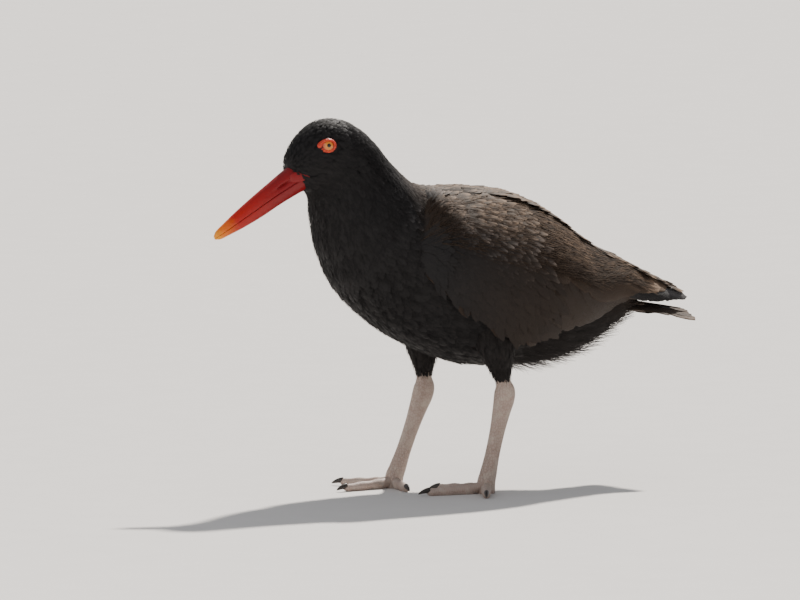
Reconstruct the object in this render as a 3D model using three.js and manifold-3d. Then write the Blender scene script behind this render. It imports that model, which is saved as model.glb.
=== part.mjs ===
// A life-size oystercatcher, walking, as a museum shows one.
// Millimetres, +Z up. The bird faces -X, its left side is -Y, and the floor is Z = 0.
import * as THREE from "three";
import { mergeVertices } from "three/addons/utils/BufferGeometryUtils.js";
import Module from "manifold-3d";

const wasm = await Module();
wasm.setup();

// Driving dimensions
const GAP = 0.3; // between pieces that touch
const FINEST = 0.05; // of the detail kept after pieces are joined and cut
const LEFT = -1;
const RIGHT = 1;
const TAIL_FEATHERS = 6; // on each side
const BODY_SIDES = 28; // facets round the body
const BODY_RINGS = 40; // rings from the rump to the forehead

const EYE_AT = new THREE.Vector3(-107.5, 10.9, 222.4); // of the right eye, mirrored for the left
const EYE_RADIUS = 5.6;
const EYE_FORWARD = 14; // degrees that each eye looks forward
const EYE_UPWARD = 0.2; // radians that each lid looks up, as the side of the head does
const LID_RADIUS = 4.9;
const LID_TUBE = 1.5;

const BILL_BASE = new THREE.Vector2(-120, 203.6);
const BILL_TIP = new THREE.Vector2(-183.5, 167.4);

const HIP_SPREAD = 31; // from the midline to each foot
const BALL_HEIGHT = 6.2; // of the joint where the toes meet
const TOE_RADIUS = 3.7;
const CLAW_LENGTH = 7.5;

// The body's outline, from the rump forwards: top x and z, bottom x and z, half width.
const BODY_OUTLINE = [
  [128, 118, 128, 118, 0],
  [121, 125, 123, 109, 14],
  [102, 137, 108, 98, 25],
  [80, 153, 84, 85.5, 33],
  [56, 169.5, 58, 79.5, 39.5],
  [28, 183.5, 28, 78.5, 43.5],
  [2, 189, -3, 81, 45.5],
  [-18, 192, -35, 92, 46],
  [-36, 195.5, -63, 107.5, 43.5],
  [-46, 200, -88, 129.5, 37.5],
  [-53, 206, -102, 154, 30.5],
  [-60, 213.5, -108, 174, 24.5],
  [-68, 223, -111, 187.5, 20.5],
  [-79.5, 232.5, -115, 193, 18],
  [-94, 238.3, -119.5, 195, 16.5],
  [-108, 237, -123, 197, 14.4],
  [-120, 229, -126, 199.5, 11],
  [-127.5, 218.5, -128.5, 203.5, 6.8],
  [-130, 210.5, -130, 210.5, 0],
];
const RUMP_START = 50; // behind this x the body is plumage over the root of the tail
const NECK_TO_TORSO = 9; // index in the outline of the ring where they part
const HEAD_TO_NECK = 12;

// The folded wing, from the wrist back: x, then y and z of its upper edge, its side and its lower edge.
const WING_ARCS = [
  [-60, 33, 167, 36.5, 158, 36, 149],
  [-45, 27, 186, 46, 162, 45, 132],
  [-20, 17, 191, 50.5, 156, 48.5, 114],
  [14, 13, 189.5, 52.5, 147, 48, 98],
  [38, 12, 184, 51.5, 142, 46, 100],
  [60, 11, 174, 47.5, 135.5, 43, 103.5],
  [80, 10, 161.5, 40, 130, 37.5, 107],
  [95, 9.5, 152, 33.5, 129.5, 31.5, 112],
  [108, 9, 146, 28, 129, 27, 116],
  [125, 8.5, 138, 22.5, 124, 24, 115],
  [140, 8, 131, 18, 120.5, 19.5, 114],
  [155, 7.5, 124, 14, 117.5, 15.5, 111.5],
  [172, 7, 117, 10, 113, 11, 109],
];
const WING_CORE_END = 138;
const SHOULDER_RISE = 0.9; // how far the wing stands out from its arcs over the shoulder

// The feathers of the folded wing in tiers, the deepest first. Each row gives the first and the last
// vane's root and tip as x and the way down the wing, then the half width and the lifts of root and tip.
const WING_TIERS = {
  primaries: {
    count: 4,
    root: [[96, 0.5], [112, 0.85]],
    tip: [[170, 0.45], [144, 0.85]],
    half: 4.2,
    lift: [-1.2, 0.6],
  },
  secondaries: {
    count: 7,
    root: [[-4, 0.5], [76, 0.55]],
    tip: [[19, 1.04], [111, 0.98]],
    half: 7.2,
    lift: [-1.2, 1.1],
  },
  tertials: {
    count: 4,
    root: [[58, 0.14], [40, 0.45]],
    tip: [[153, 0.3], [118, 0.72]],
    half: 7.6,
    lift: [-1.2, 1.7],
  },
  greaterCoverts: {
    count: 7,
    root: [[-24, 0.6], [32, 0.16]],
    tip: [[3, 1.03], [62, 0.42]],
    half: 7,
    lift: [-1.2, 2],
  },
  medianCoverts: {
    count: 6,
    root: [[-48, 0.55], [8, 0.2]],
    tip: [[-24, 1.03], [36, 0.45]],
    half: 6.5,
    lift: [-1.2, 2.6],
  },
  scapulars: {
    count: 6,
    root: [[-50, 0.3], [-16, 0.1]],
    tip: [[-18, 0.5], [48, 0.16]],
    half: 7.8,
    lift: [-1.2, 3],
  },
};

// Materials
const paint = (color, roughness) => new THREE.MeshStandardMaterial({ color, roughness, metalness: 0 });
const blackPlumage = paint(0x1b1a1c, 0.8);
const brownPlumage = paint(0x3a2f28, 0.75);
const redHorn = paint(0xb3231d, 0.35);
const redLid = paint(0xd8401c, 0.5);
const eyeMaterial = paint(0xe8a51a, 0.1);
const legSkin = paint(0xb09a8c, 0.6);
const clawHorn = paint(0x191614, 0.4);

// A geometry's positions alone, with the vertices that meet merged.
function bare(geometry) {
  for (const name of ["normal", "uv"]) geometry.deleteAttribute(name);
  return mergeVertices(geometry, 1e-3);
}

function solidOf(geometry) {
  const merged = bare(geometry);
  return new wasm.Manifold(
    new wasm.Mesh({
      numProp: 3,
      vertProperties: new Float32Array(merged.attributes.position.array),
      triVerts: new Uint32Array(merged.index.array),
    }),
  );
}

// The same surface moved out along its normals.
function swollen(geometry, by) {
  const merged = bare(geometry.clone());
  merged.computeVertexNormals();
  const { position, normal } = merged.attributes;
  for (let i = 0; i < position.count; i++) {
    position.setXYZ(
      i,
      position.getX(i) + normal.getX(i) * by,
      position.getY(i) + normal.getY(i) * by,
      position.getZ(i) + normal.getZ(i) * by,
    );
  }
  return merged;
}

function meshOf(name, solid, material) {
  const whole = solid.simplify(FINEST).decompose().sort((a, b) => b.volume() - a.volume())[0];
  const { numProp, vertProperties, triVerts } = whole.getMesh();
  const position = new Float32Array((vertProperties.length / numProp) * 3);
  for (let i = 0; i < position.length / 3; i++) {
    position.set(vertProperties.subarray(i * numProp, i * numProp + 3), i * 3);
  }
  const geometry = new THREE.BufferGeometry()
    .setAttribute("position", new THREE.BufferAttribute(position, 3))
    .setIndex(new THREE.BufferAttribute(new Uint32Array(triVerts), 1));
  geometry.computeVertexNormals();
  const mesh = new THREE.Mesh(geometry, material);
  mesh.name = name;
  return mesh;
}

// A row of values at a place between the rows of a table, along smooth curves.
function rowAt(table, keyOf, key) {
  const last = table.length - 1;
  let i = 0;
  while (i < last - 1 && keyOf(i + 1) < key) i++;
  const span = keyOf(i + 1) - keyOf(i);
  const t = (key - keyOf(i)) / span;
  const slope = (k, n) => {
    const a = Math.max(0, k - 1);
    const b = Math.min(last, k + 1);
    return (table[b][n] - table[a][n]) / (keyOf(b) - keyOf(a));
  };
  return table[i].map((value, n) => {
    const from = slope(i, n) * span;
    const to = slope(i + 1, n) * span;
    const next = table[i + 1][n];
    const cubic = 2 * value - 2 * next + from + to;
    const square = -3 * value + 3 * next - 2 * from - to;
    return ((cubic * t + square) * t + from) * t + value;
  });
}

// A closed surface through rings of points. The halves of a ring are split into triangles alike,
// so that the two faces of a thin, curved piece never cross.
function loft(rings) {
  const sides = rings[0].length;
  const index = [];
  for (let r = 0; r < rings.length - 1; r++) {
    for (let k = 0; k < sides; k++) {
      const a = r * sides + k;
      const b = r * sides + ((k + 1) % sides);
      const c = b + sides;
      const d = a + sides;
      if (k < sides / 2) index.push(a, b, c, a, c, d);
      else index.push(a, b, d, b, c, d);
    }
  }
  // Each end is closed by a ladder of quads between the two halves of its ring.
  const base = (rings.length - 1) * sides;
  for (let k = 0; k < sides / 2 - 1; k++) {
    const [a, b, c, d] = [k, k + 1, sides - 2 - k, sides - 1 - k];
    index.push(a, c, b, a, d, c);
    index.push(base + a, base + b, base + c, base + a, base + c, base + d);
  }
  const geometry = new THREE.BufferGeometry().setFromPoints(rings.flat());
  geometry.setIndex(index);
  return facingOut(geometry);
}

function facingOut(geometry) {
  const { position } = geometry.attributes;
  const [a, b, c] = [new THREE.Vector3(), new THREE.Vector3(), new THREE.Vector3()];
  let volume = 0;
  for (let i = 0; i < geometry.index.count; i += 3) {
    a.fromBufferAttribute(position, geometry.index.getX(i));
    b.fromBufferAttribute(position, geometry.index.getX(i + 1));
    c.fromBufferAttribute(position, geometry.index.getX(i + 2));
    volume += a.dot(b.cross(c));
  }
  if (volume < 0) geometry.index.array.reverse();
  return geometry;
}

// Body
function bodyPoint(along, angle) {
  const [topX, topZ, lowX, lowZ, half] = rowAt(BODY_OUTLINE, (i) => i, along);
  const lift = Math.cos(angle);
  const side = Math.sin(angle);
  const fullness = Math.sign(side) * Math.abs(side) ** 0.93 * (1 + 0.05 * lift);
  return new THREE.Vector3(
    (topX + lowX) / 2 + ((topX - lowX) / 2) * lift,
    Math.max(0, half) * fullness,
    (topZ + lowZ) / 2 + ((topZ - lowZ) / 2) * lift,
  );
}

function bodyGeometry() {
  const geometry = new THREE.SphereGeometry(1, BODY_SIDES, BODY_RINGS);
  const { position, uv } = geometry.attributes;
  for (let i = 0; i < position.count; i++) {
    const along = (1 - uv.getY(i)) * (BODY_OUTLINE.length - 1);
    const ring = Math.round((along / (BODY_OUTLINE.length - 1)) * BODY_RINGS);
    const isPole = ring === 0 || ring === BODY_RINGS;
    const angle = isPole ? 0 : uv.getX(i) * Math.PI * 2;
    const p = bodyPoint((ring / BODY_RINGS) * (BODY_OUTLINE.length - 1), angle);
    position.setXYZ(i, p.x, Math.abs(p.y) < 1e-6 ? 0 : p.y, p.z);
  }
  return facingOut(bare(geometry));
}

// A thin slab across the body at one ring of its outline.
function partingSlab(ring) {
  const [topX, topZ, lowX, lowZ] = BODY_OUTLINE[ring];
  const slab = new THREE.BoxGeometry(GAP, 160, 160);
  slab.rotateY(Math.atan2(topX - lowX, topZ - lowZ));
  slab.translate((topX + lowX) / 2, 0, (topZ + lowZ) / 2);
  return slab;
}

function rumpSlab() {
  return new THREE.BoxGeometry(GAP, 160, 160).translate(RUMP_START, 0, 120);
}

// Head pieces
function eyeGeometry(side, grow = 0) {
  const ball = new THREE.SphereGeometry(EYE_RADIUS + grow, 14, 9);
  ball.translate(EYE_AT.x, EYE_AT.y * side, EYE_AT.z);
  return ball;
}

function lidGeometry(side) {
  const ring = new THREE.TorusGeometry(LID_RADIUS, LID_TUBE, 6, 12);
  ring.scale(1.12, 0.95, 0.9);
  ring.translate(-0.6, 0, 0);
  ring.rotateX(Math.PI / 2 + EYE_UPWARD * side);
  const out = 0.8 * EYE_RADIUS;
  ring.translate(0, out * side, 0);
  ring.rotateZ(THREE.MathUtils.degToRad(EYE_FORWARD) * side);
  ring.translate(EYE_AT.x, EYE_AT.y * side, EYE_AT.z);
  return ring;
}

// The bill: how far along, half height above the mouth line, half height below it, half width.
const BILL_SECTIONS = [
  [-0.18, 7, 7, 8],
  [0, 8.6, 9, 7.6],
  [0.12, 8.9, 8.3, 6.6],
  [0.3, 8.2, 7.4, 4.6],
  [0.5, 7.2, 6.9, 3.6],
  [0.7, 5.8, 5.6, 3.0],
  [0.86, 4.2, 3.9, 2.4],
  [0.96, 3.0, 2.6, 1.9],
  [1, 1.2, 1.0, 0.9],
];

function billPoint(t, up) {
  const along = new THREE.Vector2().subVectors(BILL_TIP, BILL_BASE);
  const above = new THREE.Vector2(-along.y, along.x).normalize().multiplyScalar(-1);
  return BILL_BASE.clone().addScaledVector(along, t).addScaledVector(above, up);
}

function billGeometry() {
  const count = 13;
  const sides = 12;
  const rings = [];
  for (let r = 0; r <= count; r++) {
    const from = BILL_SECTIONS[0][0];
    const t = from + (1 - from) * (r / count);
    const [, high, low, half] = rowAt(BILL_SECTIONS, (i) => BILL_SECTIONS[i][0], t);
    const ring = [];
    for (let k = 0; k < sides; k++) {
      const angle = (k / sides) * Math.PI * 2;
      const up = Math.cos(angle);
      const p = billPoint(t, up * (up > 0 ? high : low));
      ring.push(new THREE.Vector3(p.x, half * Math.sin(angle), p.y));
    }
    rings.push(ring);
  }
  return loft(rings);
}

// The red corner of the mouth, drawn back over each cheek.
function gapeGeometry(side) {
  const corner = new THREE.SphereGeometry(1, 10, 8);
  corner.scale(8.5, 2.8, 2.6);
  corner.rotateY(-0.16);
  corner.translate(-123, 8.9 * side, 204.2);
  return corner;
}

function mouthSlab() {
  const slab = new THREE.BoxGeometry(110, 40, GAP);
  const along = new THREE.Vector2().subVectors(BILL_TIP, BILL_BASE);
  slab.rotateY(-Math.atan2(along.y, along.x));
  const middle = billPoint(0.5, 0);
  slab.translate(middle.x, 0, middle.y);
  return slab;
}

function nostrilGeometry(side) {
  const slit = new THREE.SphereGeometry(1, 10, 6);
  slit.scale(5.4, 2.0, 0.9);
  const along = new THREE.Vector2().subVectors(BILL_TIP, BILL_BASE);
  slit.rotateY(-Math.atan2(along.y, along.x));
  const p = billPoint(0.22, 3.2);
  slit.translate(p.x, 5.2 * side, p.y);
  return slit;
}

// Wings
// A point of the folded wing: x, how far down its arc from the upper edge, and how far out.
function wingPoint(x, down, out) {
  const [, upY, upZ, sideY, sideZ, lowY, lowZ] = rowAt(WING_ARCS, (i) => WING_ARCS[i][0], x);
  const pull = (middle, a, b) => 2 * middle - (a + b) / 2;
  const [pullY, pullZ] = [pull(sideY, upY, lowY), pull(sideZ, upZ, lowZ)];
  const rest = 1 - down;
  const y = rest * rest * upY + 2 * rest * down * pullY + down * down * lowY;
  const z = rest * rest * upZ + 2 * rest * down * pullZ + down * down * lowZ;
  const slopeY = 2 * rest * (pullY - upY) + 2 * down * (lowY - pullY);
  const slopeZ = 2 * rest * (pullZ - upZ) + 2 * down * (lowZ - pullZ);
  const length = Math.hypot(slopeY, slopeZ);
  const clear = (out + SHOULDER_RISE * (1 - THREE.MathUtils.smoothstep(x, 0, 50))) / length;
  return new THREE.Vector3(x, y - slopeZ * clear, z + slopeY * clear);
}

function wingArcLength(x) {
  const steps = 6;
  let length = 0;
  for (let i = 0; i < steps; i++) {
    length += wingPoint(x, i / steps, 0).distanceTo(wingPoint(x, (i + 1) / steps, 0));
  }
  return length;
}

const VANE_TILT = 0.7; // how far a vane's outer edge stands above its middle

// One feather as a thin vane: where it is along its length, and how wide it is there.
const VANE_SHAPE = [
  [0, 0.6],
  [0.45, 1],
  [0.86, 0.9],
  [1, 0.3],
];

// A vane lying on the wing, lifted clear of it towards its tip and tilted like a shingle.
function wingVane([rootX, rootDown], [tipX, tipDown], half, [rootLift, tipLift]) {
  const rings = VANE_SHAPE.map(([t, wide]) => {
    const x = rootX + (tipX - rootX) * t;
    const down = rootDown + (tipDown - rootDown) * t;
    const length = wingArcLength(x);
    const way = new THREE.Vector2(tipX - rootX, (tipDown - rootDown) * length).normalize();
    const lift = rootLift + (tipLift - rootLift) * t;
    const thick = 1.6 - 0.9 * t;
    const edge = (side, depth) => {
      const reach = side * half * wide;
      return wingPoint(x - way.y * reach, down + (way.x * reach) / length, lift + side * VANE_TILT - depth);
    };
    return [edge(-1, 0), edge(1, 0), edge(1, thick), edge(-1, thick)];
  });
  return loft(rings);
}

function tierOf({ count, root, tip, half, lift }) {
  const between = ([from, to], t) => [from[0] + (to[0] - from[0]) * t, from[1] + (to[1] - from[1]) * t];
  const vanes = [];
  for (let i = 0; i < count; i++) {
    const t = i / (count - 1);
    vanes.push(wingVane(between(root, t), between(tip, t), half, lift));
  }
  return vanes;
}

// The one shoulder feather that stands up behind the right shoulder in the photo's pose.
function ruffledVane() {
  return wingVane([14, 0.2], [57, 0.05], 6, [-0.6, 10.5]);
}

function wingCoreGeometry() {
  const rings = [];
  const across = 8;
  const count = 15;
  const [start, end] = [WING_ARCS[0][0], WING_CORE_END];
  for (let r = 0; r <= count; r++) {
    const x = start + (end - start) * (r / count);
    const deep = THREE.MathUtils.mapLinear(THREE.MathUtils.clamp(x, 70, 125), 70, 125, 7, 1.1);
    const outer = [];
    const inner = [];
    for (let k = 0; k < across; k++) {
      const down = k / (across - 1);
      const thick = 0.6 + (deep - 0.6) * Math.sqrt(Math.sin(Math.PI * down));
      outer.push(wingPoint(x, down, 0));
      inner.unshift(wingPoint(x, down, -thick));
    }
    rings.push([...outer, ...inner]);
  }
  return loft(rings);
}

// Tail: a shallow roof of vanes
function tailPoint(x, y, up) {
  const t = (x - 100) / 66;
  const z = 117.5 - 7.5 * t - 2.7 * t * t - (y * y) / 150 + up;
  return new THREE.Vector3(x, y, z);
}

// The plain roof that the tail feathers fill, also used to keep the wings clear of them.
function tailRoofGeometry(from, to, grow) {
  const rings = [];
  const across = 7;
  const count = 6;
  for (let r = 0; r <= count; r++) {
    const x = from + (to - from) * (r / count);
    const half = tailHalfWidth(x) + grow;
    const thick = THREE.MathUtils.mapLinear(x, 104, 166, 9, 1.6);
    const top = [];
    const low = [];
    for (let k = 0; k < across; k++) {
      const y = half * (1 - (2 * k) / (across - 1));
      const fade = Math.sqrt(Math.max(0, 1 - (y / half) ** 2));
      top.push(tailPoint(x, y, grow));
      low.unshift(tailPoint(x, y, -0.9 - grow - (thick - 0.9) * fade));
    }
    rings.push([...top, ...low]);
  }
  return loft(rings);
}

function tailHalfWidth(x) {
  return 15 + 12 * THREE.MathUtils.clamp((x - 104) / 56, 0, 1);
}

// A tail feather: its place counts outwards from 0, the one beside the middle.
function tailVane(place, side) {
  const spread = (place + 0.5) / TAIL_FEATHERS;
  const tipX = 170 - 4 * spread * spread;
  const rings = VANE_SHAPE.map(([t, wide]) => {
    const x = 100 + (tipX - 100) * t;
    const middle = side * (tailHalfWidth(x) - 5.4 * wide * t) * spread * 1.08;
    const edge = (across, depth) => {
      const y = middle + across * 5.4 * wide;
      return tailPoint(x, y, -0.35 * place - 0.3 * across * side - depth);
    };
    return [edge(-1, 0), edge(1, 0), edge(1, 1.1), edge(-1, 1.1)];
  });
  return loft(rings);
}

// Legs
// A limb round a curve: each row is x, y, z, half depth fore and aft, half width.
function limbGeometry(rows, sides, count, grow = 0) {
  const rings = [];
  const last = rows.length - 1;
  for (let r = 0; r <= count; r++) {
    const key = (r / count) * last;
    const [x, y, z, deep, half] = rowAt(rows, (i) => i, key);
    const before = new THREE.Vector3(...rowAt(rows, (i) => i, Math.max(0, key - 0.05)));
    const after = new THREE.Vector3(...rowAt(rows, (i) => i, Math.min(last, key + 0.05)));
    const along = after.sub(before).normalize();
    const sideways = new THREE.Vector3(0, 1, 0).addScaledVector(along, -along.y).normalize();
    const forward = new THREE.Vector3().crossVectors(sideways, along);
    const ring = [];
    for (let k = 0; k < sides; k++) {
      const angle = (k / sides) * Math.PI * 2;
      ring.push(
        new THREE.Vector3(x, y, z)
          .addScaledVector(forward, (deep + grow) * Math.cos(angle))
          .addScaledVector(sideways, (half + grow) * Math.sin(angle)),
      );
    }
    rings.push(ring);
  }
  return loft(rings);
}

const LEGS = [
  {
    side: LEFT,
    name: "left",
    ball: [0, -HIP_SPREAD],
    ankle: [14.5, -31, 62.5],
    knee: [8, -30, 96],
    toes: { inner: [-56, 33], middle: [-9, 41], outer: [56, 34] },
  },
  {
    side: RIGHT,
    name: "right",
    ball: [-28, HIP_SPREAD],
    ankle: [-6, 29.5, 61.5],
    knee: [-8, 28, 98],
    toes: { inner: [71, 31], middle: [6, 41], outer: [-54, 36] },
  },
];

function legRows({ ball, ankle, knee }) {
  const between = (t) => [0, 1, 2].map((n) => ankle[n] + ([...ball, BALL_HEIGHT][n] - ankle[n]) * t);
  const above = (t) => [0, 1, 2].map((n) => ankle[n] + (knee[n] - ankle[n]) * t);
  return [
    [...above(0.5), 4.4, 3.6],
    [...above(0.24), 4.7, 3.9],
    [...above(0.06), 6.9, 5.1],
    [...between(0.06), 7.2, 5.2],
    [...between(0.2), 6.2, 4.7],
    [...between(0.42), 5.1, 4],
    [...between(0.68), 4.9, 3.9],
    [...between(0.88), 5.6, 4.6],
    [...between(1), 6.0, 5.2],
    [ball[0], ball[1], -2, 5.8, 5.0],
  ];
}

function thighRows({ ankle, knee, side }) {
  const above = (t) => [0, 1, 2].map((n) => ankle[n] + (knee[n] - ankle[n]) * t);
  return [
    [...above(0.29), 5.6, 4.8],
    [...above(0.5), 8.2, 6.6],
    [...above(0.85), 13, 10],
    [knee[0], knee[1] - 3 * side, knee[2] + 8, 18, 13],
    [knee[0], knee[1] - 6 * side, knee[2] + 20, 20, 14],
  ];
}

const FLOOR_CUT = solidOf(new THREE.BoxGeometry(600, 600, 100).translate(0, 0, -50));

function toeDirection(angle) {
  const turn = THREE.MathUtils.degToRad(angle);
  return new THREE.Vector3(-Math.cos(turn), -Math.sin(turn), 0);
}

function toeGeometry(ball, angle, length, grow = 0) {
  const way = toeDirection(angle);
  const across = new THREE.Vector3(-way.y, way.x, 0);
  const rings = [];
  const count = 12;
  const sides = 8;
  for (let r = 0; r <= count; r++) {
    const t = r / count;
    const knuckle = 1 + 0.08 * Math.cos(t * Math.PI * 6);
    const taper = 1 - 0.34 * t - 0.3 * Math.max(0, (t - 0.92) / 0.08) ** 2;
    const radius = TOE_RADIUS * taper * knuckle + grow;
    const height = 3.1 * (1 - 0.3 * t) + 2.2 * Math.max(0, 1 - t * 4);
    const centre = new THREE.Vector3(ball[0], ball[1], height).addScaledVector(way, length * t);
    const ring = [];
    for (let k = 0; k < sides; k++) {
      const turn = (k / sides) * Math.PI * 2 + Math.PI / sides;
      ring.push(
        centre
          .clone()
          .addScaledVector(across, radius * 0.92 * Math.sin(turn))
          .add(new THREE.Vector3(0, 0, radius * Math.cos(turn))),
      );
    }
    rings.push(ring);
  }
  return loft(rings);
}

function clawGeometry(ball, angle, length) {
  const way = toeDirection(angle);
  const across = new THREE.Vector3(-way.y, way.x, 0);
  const rings = [];
  const count = 6;
  const sides = 6;
  for (let r = 0; r <= count; r++) {
    const t = r / count;
    const radius = 1.9 * Math.sqrt(1 - t * 0.94);
    const centre = new THREE.Vector3(ball[0], ball[1], 3.4 - 1.9 * t * t).addScaledVector(
      way,
      length - 1.5 + CLAW_LENGTH * t,
    );
    const ring = [];
    for (let k = 0; k < sides; k++) {
      const turn = (k / sides) * Math.PI * 2 + Math.PI / sides;
      ring.push(
        centre
          .clone()
          .addScaledVector(across, radius * 0.85 * Math.sin(turn))
          .add(new THREE.Vector3(0, 0, radius * Math.cos(turn))),
      );
    }
    rings.push(ring);
  }
  return loft(rings);
}

// Assembly
const bird = new THREE.Group();
const add = (name, solid, material) => bird.add(meshOf(name, solid, material));

const bodyShape = bodyGeometry();
const body = solidOf(bodyShape);
const bodyGrown = solidOf(swollen(bodyShape, GAP));

const eyes = [LEFT, RIGHT].map((side) => solidOf(eyeGeometry(side)));
const eyesGrown = [LEFT, RIGHT].map((side) => solidOf(eyeGeometry(side, GAP)));
const parted = body
  .subtract(eyesGrown[0])
  .subtract(eyesGrown[1])
  .subtract(solidOf(partingSlab(NECK_TO_TORSO)))
  .subtract(solidOf(partingSlab(HEAD_TO_NECK)))
  .subtract(solidOf(rumpSlab()))
  .decompose()
  .filter((piece) => piece.volume() > 1)
  .sort((a, b) => a.boundingBox().min[0] - b.boundingBox().min[0]);
const [head, neck, torso, rump] = parted;
add("head", head, blackPlumage);
add("neck", neck, blackPlumage);
add("torso", torso, blackPlumage);
add("rump", rump, blackPlumage);

[LEFT, RIGHT].forEach((side, i) => {
  const name = side === LEFT ? "left" : "right";
  add("eye_" + name, eyes[i], eyeMaterial);
  const lid = solidOf(lidGeometry(side)).subtract(bodyGrown).subtract(eyesGrown[i]);
  add("eyelid_" + name, lid, redLid);
});

let bill = solidOf(billGeometry()).add(solidOf(gapeGeometry(LEFT))).add(solidOf(gapeGeometry(RIGHT)));
for (const side of [LEFT, RIGHT]) bill = bill.subtract(solidOf(nostrilGeometry(side)));
const [billUpper, billLower] = bill
  .subtract(bodyGrown)
  .subtract(solidOf(mouthSlab()))
  .decompose()
  .sort((a, b) => b.volume() - a.volume())
  .slice(0, 2)
  .sort((a, b) => b.boundingBox().max[2] - a.boundingBox().max[2]);
add("bill_upper", billUpper, redHorn);
add("bill_lower", billLower, redHorn);

const tailGrown = solidOf(tailRoofGeometry(100, 172, 0.8));
const tailFeathers = [LEFT, RIGHT].flatMap((side) => {
  return Array.from({ length: TAIL_FEATHERS }, (_, place) => solidOf(tailVane(place, side)));
});
const tail = wasm.Manifold.union([solidOf(tailRoofGeometry(100, 132, 0)), ...tailFeathers]);
add("tail", tail.subtract(bodyGrown), brownPlumage);

for (const side of [LEFT, RIGHT]) {
  const shapes = [wingCoreGeometry(), ...Object.values(WING_TIERS).flatMap(tierOf)];
  if (side === RIGHT) shapes.push(ruffledVane());
  const solids = shapes.map((shape) => solidOf(facingOut(bare(shape.scale(1, side, 1)))));
  const wing = wasm.Manifold.union(solids).subtract(bodyGrown).subtract(tailGrown);
  add(side === LEFT ? "wing_left" : "wing_right", wing, brownPlumage);
}

for (const leg of LEGS) {
  const rows = legRows(leg);
  const shank = solidOf(limbGeometry(rows, 12, 22)).subtract(FLOOR_CUT);
  const shankGrown = solidOf(limbGeometry(rows, 12, 22, GAP));
  const thigh = solidOf(limbGeometry(thighRows(leg), 14, 10));
  add("thigh_" + leg.name, thigh.subtract(bodyGrown).subtract(shankGrown), blackPlumage);
  add("tarsus_" + leg.name, shank, legSkin);
  let taken = shankGrown;
  for (const toe of ["middle", "outer", "inner"]) {
    const [angle, length] = leg.toes[toe];
    const shape = solidOf(toeGeometry(leg.ball, angle, length)).subtract(FLOOR_CUT);
    const claw = solidOf(clawGeometry(leg.ball, angle, length));
    const grown = solidOf(toeGeometry(leg.ball, angle, length, GAP));
    add(`toe_${leg.name}_${toe}`, shape.subtract(taken), legSkin);
    add(`claw_${leg.name}_${toe}`, claw.subtract(grown).subtract(FLOOR_CUT), clawHorn);
    taken = taken.add(grown);
  }
}

const box = new THREE.Box3().setFromObject(bird);
const centre = box.getCenter(new THREE.Vector3());
bird.position.set(-centre.x, -centre.y, -box.min.z);

export default bird;
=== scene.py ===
# %% [markdown]
# # A blackish oystercatcher, standing
# This notebook dresses the plain solids of the bird with what the eye sees on the real one:
# plumage, flight feathers, a horn bill, wet eyes, scaly legs and black claws. The solids are
# loaded first and never moved. All sizes below are in millimetres, measured from a point on the
# floor beside the rear foot, and only the last step turns them into metres.

# %% The frame
import math

import bmesh
import bpy
import numpy as np
from mathutils import Matrix, Vector


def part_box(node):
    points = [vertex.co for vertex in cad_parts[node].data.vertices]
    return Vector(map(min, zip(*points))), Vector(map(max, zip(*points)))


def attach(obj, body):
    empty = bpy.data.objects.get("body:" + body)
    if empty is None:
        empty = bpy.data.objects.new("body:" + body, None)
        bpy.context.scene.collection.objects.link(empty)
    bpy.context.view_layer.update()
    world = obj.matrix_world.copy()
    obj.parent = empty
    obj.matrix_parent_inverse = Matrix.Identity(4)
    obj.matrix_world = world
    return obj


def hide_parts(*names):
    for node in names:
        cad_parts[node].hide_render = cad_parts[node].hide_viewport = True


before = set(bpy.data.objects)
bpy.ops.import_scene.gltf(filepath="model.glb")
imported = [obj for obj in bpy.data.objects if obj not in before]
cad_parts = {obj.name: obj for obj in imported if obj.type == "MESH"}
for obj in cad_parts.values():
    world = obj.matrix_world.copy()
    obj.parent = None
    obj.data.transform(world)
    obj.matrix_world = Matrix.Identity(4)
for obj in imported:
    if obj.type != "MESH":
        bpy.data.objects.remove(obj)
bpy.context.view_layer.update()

# %% [markdown]
# ## From millimetres to the frame
# The solids were centred on the floor after they were made, so one known place, the middle of
# the left eye, tells how far everything was moved. Every piece below passes through `to_frame`.

# %% Placing
MM = 0.001
EYE_AT = np.array([-107.5, 10.9, 222.4])
SIDES = {"left": -1, "right": 1}
SHIFT = np.mean(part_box("eye_left"), axis=0) / MM - EYE_AT * [1, -1, 1]


def to_frame(points):
    return (np.asarray(points, float) + SHIFT) * MM


print("the solids were moved by", SHIFT.round(2), "mm")

# %% [markdown]
# ## The camera
# The photograph was taken with a long lens, a little above the bird and about 34 degrees towards
# its head from a pure side view. A far camera with a very long lens gives the same flat look, and
# its distance and lens are tied together so that one pixel of 800 covers 0.63 mm at the bird.

# %% Camera
AZIMUTH = math.radians(-34)
ELEVATION = math.radians(5)
DISTANCE = 9000
PIXEL = 0.63
WIDE, HIGH = 800, 600
ORIGIN_PIXEL = (458.5, 489.4)
AIM_HEIGHT = 120
SENSOR = 36
to_camera = Vector((
    math.sin(AZIMUTH) * math.cos(ELEVATION),
    -math.cos(AZIMUTH) * math.cos(ELEVATION),
    math.sin(ELEVATION),
))
to_right = Vector((math.cos(AZIMUTH), math.sin(AZIMUTH), 0))
to_top = to_camera.cross(to_right)
aim = Vector((0, 0, AIM_HEIGHT)) + to_right * (WIDE / 2 - ORIGIN_PIXEL[0]) * PIXEL
aim += to_top * ((ORIGIN_PIXEL[1] - HIGH / 2) * PIXEL - AIM_HEIGHT * to_top.z)
camera_data = bpy.data.cameras.new("photo_camera")
camera_data.sensor_width = SENSOR
camera_data.lens = SENSOR * DISTANCE / (WIDE * PIXEL)
camera_data.clip_end = 100
camera = bpy.data.objects.new("photo_camera", camera_data)
bpy.context.collection.objects.link(camera)
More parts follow.
